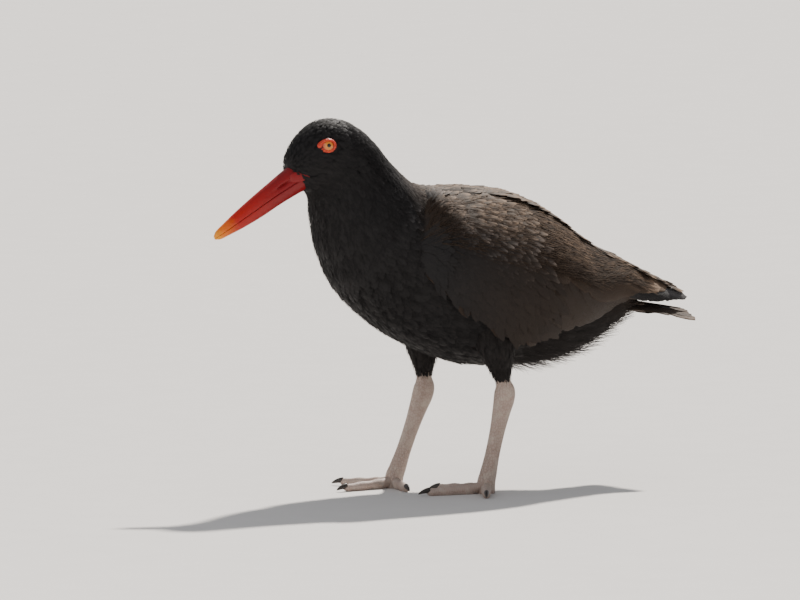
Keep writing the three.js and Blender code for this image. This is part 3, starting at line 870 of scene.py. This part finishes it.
# %% The tiers of a wing
# Each end is given by x and the way down the wing's arc.
WING_TIERS = [
    tier(
        5, [(96, 0.5), (112, 0.85)], [(170, 0.45), (144, 0.85)], 4.2, (-0.6, 0.4),
        blunt=0.8, brown=0,
    ),
    tier(10, [(-6, 0.5), (78, 0.55)], [(17, 1.05), (112, 0.98)], 7.4, (-0.6, 0.35), brown=0.7),
    tier(6, [(58, 0.12), (38, 0.45)], [(153, 0.28), (116, 0.74)], 7.4, (-0.6, 0.55)),
    tier(12, [(-24, 0.6), (34, 0.14)], [(2, 1.04), (66, 0.4)], 7.0, (-0.6, 0.5), brown=0.75),
    tier(12, [(-48, 0.6), (10, 0.16)], [(-26, 1.04), (38, 0.42)], 6.2, (-0.6, 0.6), brown=0.6),
    tier(12, [(-56, 0.55), (-4, 0.15)], [(-38, 0.98), (20, 0.38)], 5.6, (-0.6, 0.7), brown=0.35),
    tier(10, [(-60, 0.45), (-18, 0.15)], [(-46, 0.85), (4, 0.34)], 5.2, (-0.6, 0.75), brown=0.15),
    tier(8, [(-62, 0.35), (-30, 0.12)], [(-52, 0.7), (-10, 0.3)], 5.0, (-0.6, 0.8), brown=0.05),
    tier(8, [(-30, 0.22), (10, 0.03)], [(14, 0.36), (72, 0.12)], 7.5, (-0.6, 0.8)),
    tier(9, [(-46, 0.28), (-8, 0.02)], [(-8, 0.4), (46, 0.1)], 6.8, (-0.6, 0.95)),
    tier(9, [(-56, 0.28), (-26, 0.02)], [(-26, 0.34), (20, 0.08)], 6.0, (-0.6, 1.1), brown=0.8),
]
RUFFLED = one_vane((14, 0.2), (57, 0.05), 5, (-0.6, 10.5), blunt=0.6)

for name, side in SIDES.items():
    tiers = WING_TIERS + ([RUFFLED] if name == "right" else [])
    replaced = ("wing_" + name,)
    vane_set("wing_feathers_" + name, tiers, side, on_wing, replaced, 11 + side)


# %% [markdown]
# ## Small feathers over the wing
# The front half of the folded wing is soft: short feathers lie over the coverts and melt into the
# breast, longer loose ones over the shoulder catch the sun in a ragged, pale fringe, and hair-thin
# streaks lie lengthwise over all of its upper half.


# %% Small feathers, fringe and streaks
WING_FRONT, WING_BACK = -60, 138


def wing_tube(side, heights):
    """A closed form round the folded wing, from its outer and inner height at x and down."""
    def shape(turn, along):
        x = WING_FRONT + (WING_BACK - WING_FRONT) * along
        outer = turn <= 0.5
        down = np.where(outer, turn * 2, 2 - turn * 2)
        points = wing_point(x, down, np.where(outer, *heights(x, down)))
        points[..., 1] *= side
        return points

    return shape


def wing_places(side, height, start, end, gap, low, high):
    form = wing_tube(side, lambda x, down: (height * np.clip(0.1 + down * 7, 0, 1), -6.0))
    first, last = ((x - WING_FRONT) / (WING_BACK - WING_FRONT) for x in (start, end))
    places = rows_over(form, first, last, gap, flow=1)
    down = places.turn * 2
    inside = (down > low) & (down < high)
    return places.only(inside), down[inside]


for name, side in SIDES.items():
    places, down = wing_places(side, 1.2, -60, 36, 2.5, 0.07, 0.96)
    thinned = np.clip((34 - places.at[:, 0] + 14 * (down - 0.5)) / 40, 0, 1)
    places = places.only(dice.uniform(0, 1, len(places)) < thinned)
    x, z = places.at[:, 0], places.at[:, 2]
    slant = 0.85 * np.clip((168 - z) / 40, -0.15, 1)[:, None]
    places.lie = beside(unit(places.lie - np.array([0, 0, 1.0]) * slant), places.out)
    count = len(places)
    length = np.interp(x, [-60, 40], [10, 17]) * dice.uniform(0.8, 1.15, count)
    brown = np.clip((x + 50) / 60, 0, 1) * 0.45 + 0.75 * np.clip((z - 162) / 14, 0, 1)
    laid(
        "wing_coat_" + name, BLADE, places, length,
        length * dice.uniform(0.24, 0.36, count), 0.7, dice.uniform(-0.1, 0.2, count),
        np.minimum(brown, 1), bend=0.01, soft=0.9,
    )
    places, down = wing_places(side, 1.6, -58, 30, 2.4, 0.08, 0.4)
    count = len(places)
    edge = bell(down, 0.27, 0.05) * bell(places.at[:, 0], -36, 16)
    places.lie = unit(places.lie - np.array([0, 0, 1.0]) * (0.3 + 0.9 * edge)[:, None])
    laid(
        "wing_fringe_" + name, STRAND, places, dice.uniform(8, 16, count),
        dice.uniform(0.3, 0.5, count), 0.8,
        dice.uniform(0, 0.6, count) + edge * dice.uniform(0.5, 4.5, count), 0.95,
        sway=0.4, soft=0.6,
    )
    places, down = wing_places(side, 1.3, -54, 128, 1.8, 0.07, 0.55)
    count = len(places)
    laid(
        "wing_streaks_" + name, STRAND, places, dice.uniform(9, 20, count),
        dice.uniform(0.35, 0.7, count), 0.9, dice.uniform(-0.1, 0.45, count),
        dice.uniform(0.7, 1, count), sway=0.16, soft=0.75,
    )

# %% [markdown]
# ## The mantle
# Between the upper edges of the wings the back is filled with the broad brown feathers of the
# mantle, which run on from the hindneck to the rump and lie on a bed of their own.


# %% Mantle
def mantle_shape(turn, along):
    x = -48 + 204 * along
    up_y, up_z = columns(WING_ROWS, x)[:2]
    upper = turn <= 0.5
    across = np.where(upper, turn * 4 - 1, 3 - turn * 4)
    z = up_z + np.where(upper, 2.2 * (1 - across**2) - 1.0, -9)
    return np.stack([x, across * (up_y + 3), z], -1)


def mantle_bed(turn, along):
    return mantle_shape(turn, along) - [0, 0, 0.9]


bed = rolled("mantle_bed", 32, 90, mantle_bed)
set_plume(bed, 0.4, 0.45, 0.8)
link("mantle_bed", bed, body_plumage)
places = rows_over(mantle_shape, 0.005, 0.985, 2.9, across=0.6, flow=1)
places = places.only(places.turn < 0.5)
x = places.at[:, 0]
length = np.interp(x, [-48, 10, 90], [11, 17, 15]) * dice.uniform(0.85, 1.15, len(x))
laid(
    "mantle", BLADE, places, length, length * dice.uniform(0.4, 0.55, len(x)), 1.3,
    dice.uniform(-0.5, 0.25, len(x)), np.clip((x + 50) / 24, 0.1, 1), soft=0.7,
)

# %% [markdown]
# ## The bed of the wing
# Between and below the vanes the eye must not look through the wing. A thin dark bed, the core
# of the solid wing, lies just under them.


# %% Wing bed
def bed_heights(x, down):
    deep = np.interp(x, [70, 125], [7, 1.1])
    return -0.7, -1.3 - (deep - 0.6) * np.sqrt(np.maximum(np.sin(math.pi * down), 0))


for name, side in SIDES.items():
    bed = rolled("wing_bed_" + name, 48, 60, wing_tube(side, bed_heights))
    set_plume(bed, 0.3, 0.2, 0.6)
    link("wing_bed_" + name, bed, body_plumage)

# %% [markdown]
# ## The tail
# Twelve broad feathers form a low roof, the middle pair on top. Shorter coverts hide their roots
# above and below.


# %% Tail
def on_tail(root, tip, half, lift, way, across, wide, depth):
    """Lays flat vanes side by side as a low roof."""
    x = root[:, :1] + (tip[:, :1] - root[:, :1]) * way
    middle = root[:, 1:] + (tip[:, 1:] - root[:, 1:]) * way
    y = middle + across * half * wide
    t = (x - 100) / 66
    height = lift[:, :1] + (lift[:, 1:] - lift[:, :1]) * way
    ridge = 0.3 * bell(across, 0, 0.12) * (1 - way * 0.7)
    tilt = -0.3 * across * np.sign(middle + 1e-6)
    z = 117.5 - 7.5 * t - 2.7 * t * t - y * y / 150 + height + ridge + tilt - depth
    return np.stack([x + 0 * y, y, z], -1), unit(np.stack([0.15 + 0 * y, y / 75, 1 + 0 * y], -1))


tail_tiers = []
for side in SIDES.values():
    for place in range(6):
        spread = (place + 0.5) / 6
        tail_tiers.append(one_vane(
            (100, 12 * spread * side), (170 - 4 * spread * spread, 23.328 * spread * side), 5.6,
            (-0.35 * place,) * 2, stray=(0.5, 0.2), wear=0.8, blunt=0.86, thick=0.55,
        ))
for row, (start, end) in enumerate(((98, 132), (96, 122), (94, 113))):
    for place in np.linspace(-1, 1, 7 - row):
        root = (start - 6, 8 * place)
        tail_tiers.append(one_vane(
            root, (end, (14 - row) * place), 5, (0.2, 0.7 + 0.5 * row), brown=0.7, blunt=0.7,
        ))
        below = (row - 4, -3.2 - 0.6 * row)
        tail_tiers.append(one_vane(
            root, (end + 2, (15 - row) * place), 5, below, brown=0.5, blunt=0.7,
        ))
vane_set("tail_feathers", tail_tiers, 1, on_tail, ("tail",), 5)

# %% [markdown]
# ## The bill
# An oystercatcher's bill is a blade: deep, narrow from side to side, with a rounded culmen above,
# a flat mouth edge, and a blunt tip. Each half is rolled from a grid whose section is an arch over
# a flat. The nostril is a slit pressed into a shallow groove. The horn is sealing-wax red, orange
# towards the tip, with fine lengthwise scratches.

# %% Bill form
BILL_BASE, BILL_TIP = np.array([-120, 203.6]), np.array([-183.5, 167.4])
BILL_ROWS = np.array([
    [-0.18, 7, 7, 8],
    [0, 8.6, 9, 7.6],
    [0.12, 8.9, 8.3, 6.6],
    [0.3, 8.2, 7.4, 4.6],
    [0.5, 7.2, 6.9, 3.6],
    [0.7, 5.8, 5.6, 3.0],
    [0.86, 4.2, 3.9, 2.4],
    [0.96, 3.0, 2.6, 1.9],
    [1, 1.2, 1.0, 0.9],
])
bill_way = BILL_TIP - BILL_BASE
bill_up = np.array([-bill_way[1], bill_way[0]]) / -np.linalg.norm(bill_way)


def bill_half(top):
    def shape(turn, along):
        t = -0.1 + 1.1 * along
        high, low, half = columns(BILL_ROWS, t)
        arch = turn < 0.75
        angle = np.where(arch, (turn / 0.75 - 0.5) * math.pi, 0)
        flat = np.where(arch, 0, 1 - (turn - 0.75) * 8)
        side = np.where(arch, np.sin(angle), flat) * half
        up = np.where(arch, np.cos(angle) ** 0.85, 0) * (high if top else low)
        if top:
            groove = bell(up, 3.2, 1.5) * bell(t, 0.2, 0.16)
            slit = bell(up, 3.2, 0.55) * np.clip(1 - ((t - 0.21) / 0.075) ** 2, 0, 1)
            side = side - np.sign(side) * (groove * 0.5 + slit * 1.6) * arch
        up = up + 0.18 if top else -up - 0.18
        plane = BILL_BASE + bill_way * t[..., None] + bill_up * up[..., None]
        return np.stack([plane[..., 0], side, plane[..., 1]], -1)

    return shape


# %% Bill finish
def bill_finish():
    finish = Finish(
        "red_horn", Roughness=0.38, Specular_IOR_Level=0.3, Coat_Weight=0.06, Coat_Roughness=0.25,
        Subsurface_Weight=0.08, Subsurface_Radius=(0.004, 0.0012, 0.0008), Subsurface_Scale=1.0,
    )
    streaks = finish.noise(180, detail=4, vector=finish.stretched((1, 4, 4)))
    away = finish.away_from([BILL_TIP[0], 0, BILL_TIP[1]])
    ramp = finish.node("ValToRGB", {"stops": [
        (0.0, (0.84, 0.38, 0.012)),
        (0.13, (0.78, 0.17, 0.006)),
        (0.34, (0.42, 0.010, 0.005)),
        (1.0, (0.21, 0.004, 0.006)),
    ]}, Fac=away / 55 + streaks * 0.12 - 0.05)
    paling = finish.noise(420, detail=5, vector=finish.stretched((1, 6, 6))).span(0.62, 0.8)
    finish.colour(finish.mix(paling * 0.25, ramp.outputs["Color"], (0.55, 0.12, 0.05)))
    finish.rough(0.32 + streaks * 0.2)
    finish.bump(streaks + finish.noise(900) * 0.4, 0.0003, 0.5)
    return finish.material


red_horn = bill_finish()
for name, top in (("bill_upper", True), ("bill_lower", False)):
    half = rolled(name + "_horn", 96, 150, bill_half(top))
    link(name + "_horn", half, red_horn, (name,))


# %% [markdown]
# ## The corner of the mouth
# The red skin runs back over each cheek as a pointed flange. It is rolled as a flattened spindle.


# %% Gape
def gape_shape(side):
    def shape(turn, along):
        t = along * 2 - 1
        swell = np.sqrt(np.maximum(1 - t * t, 0))
        angle = turn * 2 * math.pi
        x = -123.6 + 8.0 * t
        y = side * (7.8 + 2.4 * t) + np.sin(angle) * swell * 0.8
        z = 203.8 + 1.0 * t + np.cos(angle) * swell * 3.1 * (1 - 0.5 * t)
        return np.stack([x, y, z], -1)

    return shape


for name, side in SIDES.items():
    link("gape_" + name, rolled("gape_" + name, 24, 24, gape_shape(side)), red_horn)

# %% [markdown]
# ## Eyes
# The eye is a full ball whose front swells a little as the cornea does. The pupil is small and
# black, the iris yellow with an orange rim. One wet finish with a clear coat holds all three, and
# reads how far a point lies from the front of the eye.

# %% Eyes
EYE_RADIUS = 5.6
EYE_FORWARD = math.radians(14)


def eye_axis(side):
    return np.array([-math.sin(EYE_FORWARD), side * math.cos(EYE_FORWARD), 0.12])


def eye_finish(name, front):
    finish = Finish("eye_" + name, Roughness=0.25, Coat_Weight=0.3, Coat_Roughness=0.02)
    rays = finish.noise(1500, detail=2)
    ramp = finish.node("ValToRGB", {"stops": [
        (0.0, (0.004, 0.003, 0.003)),
        (0.27, (0.004, 0.003, 0.003)),
        (0.32, (0.64, 0.25, 0.008)),
        (0.62, (0.56, 0.13, 0.005)),
        (0.84, (0.40, 0.04, 0.004)),
        (0.95, (0.03, 0.008, 0.005)),
    ]}, Fac=finish.away_from(front) / 4.4 + (rays - 0.5) * 0.05)
    finish.colour(ramp.outputs["Color"])
    return finish.material


for name, side in SIDES.items():
    centre = EYE_AT * [1, side, 1]
    axis = unit(eye_axis(side))
    ball = bmesh.new()
    bmesh.ops.create_uvsphere(ball, u_segments=48, v_segments=32, radius=EYE_RADIUS - 0.05)
    for vert in ball.verts:
        facing = max(0.0, float(np.dot(np.array(vert.co[:]), axis)) / EYE_RADIUS)
        swollen = np.array(vert.co[:]) * (1 + 0.05 * max(0, facing - 0.75) / 0.25)
        vert.co = to_frame(centre + swollen)
    for face in ball.faces:
        face.smooth = True
    mesh = bpy.data.meshes.new("eyeball_" + name)
    ball.to_mesh(mesh)
    ball.free()
    finish = eye_finish(name, centre + axis * EYE_RADIUS * 1.05)
    link("eyeball_" + name, mesh, finish, ("eye_" + name,))

# %% [markdown]
# ## Eye rings
# A ring of bare orange-red skin frames the eye and runs out to a point towards the bill. It is a
# bent tube with fine creases across it, thinner above than below.


# %% Eye rings
RING_SEAT = 3.7


def ring_shape(side):
    axis = unit(eye_axis(side))
    forward = unit(np.array([-axis[1], axis[0], 0]) * side)
    upward = np.array([0, 0, 1.0])
    centre = EYE_AT * [1, side, 1]

    def shape(turn, along):
        around, section = along * 2 * math.pi, turn * 2 * math.pi
        point = np.maximum(np.cos(around), 0) ** 4
        reach = 4.6 + 0.8 * point
        height = 3.65 - 0.1 * np.maximum(np.sin(around), 0)
        tube = 0.95 + 0.06 * np.sin(around * 17) * (section < math.pi)
        path = (
            np.cos(around)[..., None] * forward * reach[..., None]
            + np.sin(around)[..., None] * upward * height[..., None]
        )
        outwards = unit(path)
        away = np.linalg.norm(path, axis=-1)
        lift = np.maximum(np.sqrt(np.maximum(EYE_RADIUS**2 - away**2, 0)), RING_SEAT)
        spot = centre + path + axis * lift[..., None]
        return (
            spot
            + outwards * (np.cos(section) * (tube + 0.95 * point))[..., None]
            + axis * (np.sin(section) * tube)[..., None]
        )

    return shape


def ring_finish():
    finish = Finish(
        "eye_ring_skin", Roughness=0.5, Subsurface_Weight=0.15,
        Subsurface_Radius=(0.002, 0.0006, 0.0003), Subsurface_Scale=1.0,
    )
    patchy = finish.noise(900, detail=3)
    finish.colour(finish.mix(patchy.span(0.35, 0.7), (0.46, 0.016, 0.005), (0.62, 0.065, 0.008)))
    finish.bump(finish.noise(2200, detail=2), 0.00015, 0.7)
    return finish.material


ring_skin = ring_finish()
for name, side in SIDES.items():
    ring = rolled("eye_ring_" + name, 16, 96, ring_shape(side))
    link("eye_ring_" + name, ring, ring_skin, ("eyelid_" + name,))

# %% [markdown]
# ## Legs
# A wader's shank is bare and covered with small six-sided scales, with a thick ankle and a foot
# of three toes. The forms are tubes along measured rows, as in the solids. The scales are a
# cell pattern pressed into the surface, and pale dust lies between them.

# %% Leg forms
HIP_SPREAD = 31
BALL_HEIGHT = 6.2
LEGS = {
    "left": {
        "ball": (0, -HIP_SPREAD), "ankle": (14.5, -31, 62.5), "knee": (8, -30, 96),
        "toes": {"inner": (-56, 33), "middle": (-9, 41), "outer": (56, 34)},
    },
    "right": {
        "ball": (-28, HIP_SPREAD), "ankle": (-6, 29.5, 61.5), "knee": (-8, 28, 98),
        "toes": {"inner": (71, 31), "middle": (6, 41), "outer": (-54, 36)},
    },
}


def between(first, second, t):
    return tuple(a + (b - a) * t for a, b in zip(first, second))


def shank_rows(leg):
    ball, ankle, knee = (*leg["ball"], BALL_HEIGHT), leg["ankle"], leg["knee"]
    return np.array([
        (*between(ankle, knee, 0.5), 4.4, 3.6),
        (*between(ankle, knee, 0.24), 4.7, 3.9),
        (*between(ankle, knee, 0.06), 6.9, 5.1),
        (*between(ankle, ball, 0.06), 7.2, 5.2),
        (*between(ankle, ball, 0.2), 6.2, 4.7),
        (*between(ankle, ball, 0.42), 5.1, 4),
        (*between(ankle, ball, 0.68), 4.9, 3.9),
        (*between(ankle, ball, 0.88), 5.6, 4.6),
        (*ball, 6.0, 5.2),
        (ball[0], ball[1], -2, 5.8, 5.0),
    ])


def thigh_rows(leg, side):
    ankle, knee = leg["ankle"], leg["knee"]
    return np.array([
        (*between(ankle, knee, 0.29), 5.6, 4.8),
        (*between(ankle, knee, 0.5), 8.2, 6.6),
        (*between(ankle, knee, 0.85), 13, 10),
        (knee[0], knee[1] - 3 * side, knee[2] + 8, 18, 13),
        (knee[0], knee[1] - 6 * side, knee[2] + 20, 20, 14),
    ])


def limb_shape(rows, thinner=0.0):
    keys = np.arange(len(rows))
    last = len(rows) - 1

    def shape(turn, along):
        key = np.clip(along, 0, 1) * last
        row = row_at(keys, rows, key)
        way = row_at(keys, rows, np.minimum(key + 0.05, last)) - row_at(
            keys, rows, np.maximum(key - 0.05, 0)
        )
        way = unit(way[..., :3])
        sideways = unit(np.array([0, 1.0, 0]) - way * way[..., 1:2])
        forward = np.cross(sideways, way)
        angle = turn * 2 * math.pi
        point = (
            row[..., :3]
            + forward * ((row[..., 3] - thinner) * np.cos(angle))[..., None]
            + sideways * ((row[..., 4] - thinner) * np.sin(angle))[..., None]
        )
        point[..., 2] = np.maximum(point[..., 2], 0)
        return point

    return shape


# %% Leg finish
def leg_finish(name, scale, bands=0.0):
    finish = Finish(
        name, Roughness=0.62, Subsurface_Weight=0.06, Subsurface_Radius=(0.003, 0.0015, 0.001),
        Subsurface_Scale=1.0,
    )
    cells = finish.node(
        "TexVoronoi", {"feature": "DISTANCE_TO_EDGE"}, Vector=finish.stretched((1, 1, 0.8)),
        Scale=scale, Randomness=0.75,
    )
    scales = Amount(cells.outputs["Distance"]).span(0.0, 0.16)
    if bands:
        form_map = finish.node("UVMap", {"uv_map": "form"}).outputs["UV"]
        split = finish.node("SeparateXYZ", Vector=form_map)
        turn, along = Amount(split.outputs[0]), Amount(split.outputs[1])
        rings = ((along * bands * 2 * math.pi).math("SINE").math("ABSOLUTE")).span(0.0, 0.35)
        above = ((turn - 0.5).math("ABSOLUTE")).span(0.2, 0.3)
        scales = scales * (1 - above) + rings * above
    dusty = finish.noise(160, detail=4).span(0.42, 0.72)
    stained = finish.noise(70, detail=3).span(0.5, 0.75)
    skin_tone = finish.mix(scales, (0.34, 0.245, 0.20), (0.43, 0.325, 0.275))
    dirty = finish.mix(stained * 0.35, skin_tone, (0.27, 0.20, 0.16))
    finish.colour(finish.mix(dusty * 0.5, dirty, (0.56, 0.49, 0.42)))
    finish.rough(0.55 + dusty * 0.35)
    finish.bump(scales + finish.noise(1300) * 0.25, 0.0003, 0.7)
    return finish.material


scaly_skin = leg_finish("scaly_shank", 640)
toe_skin = leg_finish("scaly_toe", 700, bands=15)
claw_horn = Finish("claw_horn", Roughness=0.35)
claw_streaks = claw_horn.noise(700, detail=3)
claw_horn.colour(claw_horn.mix(claw_streaks, (0.010, 0.008, 0.007), (0.045, 0.034, 0.028)))
claw_horn.bump(claw_streaks, 0.0002, 0.5)

for name, leg in LEGS.items():
    shank = rolled("shank_" + name, 36, 90, limb_shape(shank_rows(leg)))
    link("shank_" + name, shank, scaly_skin, ("tarsus_" + name,))


# %% [markdown]
# ## Toes and claws
# Each toe is a flattened tube with a pad under every joint and plates across its top. The claw is
# short, curved and blunt from walking on rock.


# %% Toes and claws
def foot_form(ball, angle, section):
    """A form along the floor, from the ball of the foot at an angle to the bird's own way."""
    turn_by = math.radians(angle)
    way = np.array([-math.cos(turn_by), -math.sin(turn_by), 0])
    across = np.array([-way[1], way[0], 0])

    def shape(turn, along):
        around = turn * 2 * math.pi
        reach, radius, flat, height = section(along, around)
        point = (
            np.array([*ball, 0])
            + way * reach[..., None]
            + across * (radius * flat * np.sin(around))[..., None]
        )
        point[..., 2] = np.maximum(height + radius * np.cos(around), 0)
        return point

    return shape


for name, leg in LEGS.items():
    for toe, (angle, length) in leg["toes"].items():
        def toe_section(along, around):
            taper = 1 - 0.34 * along - 0.44 * np.maximum(0, (along - 0.9) / 0.1) ** 2
            plates = 0.12 * np.abs(np.sin(along * 15 * math.pi)) * (np.cos(around) > 0)
            radius = 3.7 * taper * (1 + 0.09 * np.cos(along * math.pi * 6)) + plates
            height = 3.1 * (1 - 0.3 * along) + 2.2 * np.maximum(0, 1 - along * 4)
            return length * along, radius, 0.92, height

        def claw_section(along, around):
            radius = 1.95 * np.sqrt(np.maximum(1 - along * 0.97, 0))
            return length - 1.5 + 7.5 * along, radius, 0.85, 3.5 - 1.9 * along**2

        label = f"{name}_{toe}"
        skin = rolled("toe_skin_" + label, 28, 72, foot_form(leg["ball"], angle, toe_section))
        link("toe_skin_" + label, skin, toe_skin, ("toe_" + label,))
        claw = rolled("claw_horn_" + label, 20, 24, foot_form(leg["ball"], angle, claw_section))
        link("claw_horn_" + label, claw, claw_horn.material, ("claw_" + label,))

# %% [markdown]
# ## Feathered thighs
# The thigh's plumage hangs down over the top of the bare shank like a short trouser leg. It has
# its own skin and coat, whose feathers point down.

# %% Thighs
for name, leg in LEGS.items():
    rows = thigh_rows(leg, SIDES[name])
    thigh = rolled("thigh_skin_" + name, 40, 40, limb_shape(rows, thinner=1.2))
    thigh.uv_layers["form"].name = "OFBake"
    set_plume(thigh, 0.2, 0.1, 0.1)
    link("thigh_skin_" + name, thigh, body_plumage, ("thigh_" + name,))
    outer = limb_shape(rows)
    places = rows_over(outer, 0.03, 0.98, 2.4)
    count = len(places)
    length = 7.5 * dice.uniform(0.7, 1.1, count) * np.clip(0.55 + places.along, 0.55, 1)
    laid(
        "thigh_coat_" + name, BLADE, places, length, length * 0.42, 1.4,
        dice.uniform(-0.4, 0.3, count), 0.1, bend=0.05,
    )
    places = rows_over(outer, 0.02, 0.98, 1.7)
    count = len(places)
    laid(
        "thigh_strands_" + name, STRAND, places, dice.uniform(4, 7.5, count), 0.32,
        1.0, dice.uniform(0, 0.8, count), 0.1, sway=0.3,
    )

# %% [markdown]
# ## Floor and light
# The floor is plain and pale. The key light comes from behind the bird, on the right and high, as
# the sun does in the photograph, so the back and crown are bright and the near side is in soft
# shade. A broad dim light beside the camera fills that shade.

# %% Floor
floor_sheet = bmesh.new()
bmesh.ops.create_grid(floor_sheet, x_segments=1, y_segments=1, size=60)
floor_mesh = bpy.data.meshes.new("floor")
floor_sheet.to_mesh(floor_mesh)
floor_sheet.free()
floor_finish = Finish("pale_floor", Roughness=0.8)
grain = floor_finish.noise(30, detail=4)
floor_finish.colour(floor_finish.mix(grain, (0.70, 0.67, 0.645), (0.76, 0.73, 0.705)))
floor_mesh.materials.append(floor_finish.material)
floor = bpy.data.objects.new("floor", floor_mesh)
bpy.context.collection.objects.link(floor)

# %% Light
world = bpy.data.worlds.new("studio")
world.use_nodes = True
backdrop = next(n for n in world.node_tree.nodes if n.type == "BACKGROUND")
backdrop.inputs["Color"].default_value = (0.84, 0.87, 0.92, 1)
backdrop.inputs["Strength"].default_value = 0.5
bpy.context.scene.world = world


BREAST_HEIGHT = 130
LAMP_DISTANCE = 2500


def lamp(name, kind, toward, strength):
    """A light that shines on the bird from one side."""
    data = bpy.data.lights.new(name, kind)
    data.energy = strength
    light = bpy.data.objects.new(name, data)
    bpy.context.collection.objects.link(light)
    toward = toward.normalized()
    light.location = to_frame(Vector((0, 0, BREAST_HEIGHT)) + toward * LAMP_DISTANCE)
    light.rotation_euler = toward.to_track_quat("Z", "Y").to_euler()
    return data


level = Vector((to_camera.x, to_camera.y, 0)).normalized()
sun = lamp("sun", "SUN", to_right * 0.345 - level * 0.83 + Vector((0, 0, 1)), 6.9)
sun.angle = math.radians(3)
sun.color = (1, 0.95, 0.88)
fill = lamp("fill", "AREA", level * 0.9 - to_right * 0.5 + Vector((0, 0, 0.35)), 16)
fill.size = 2.2
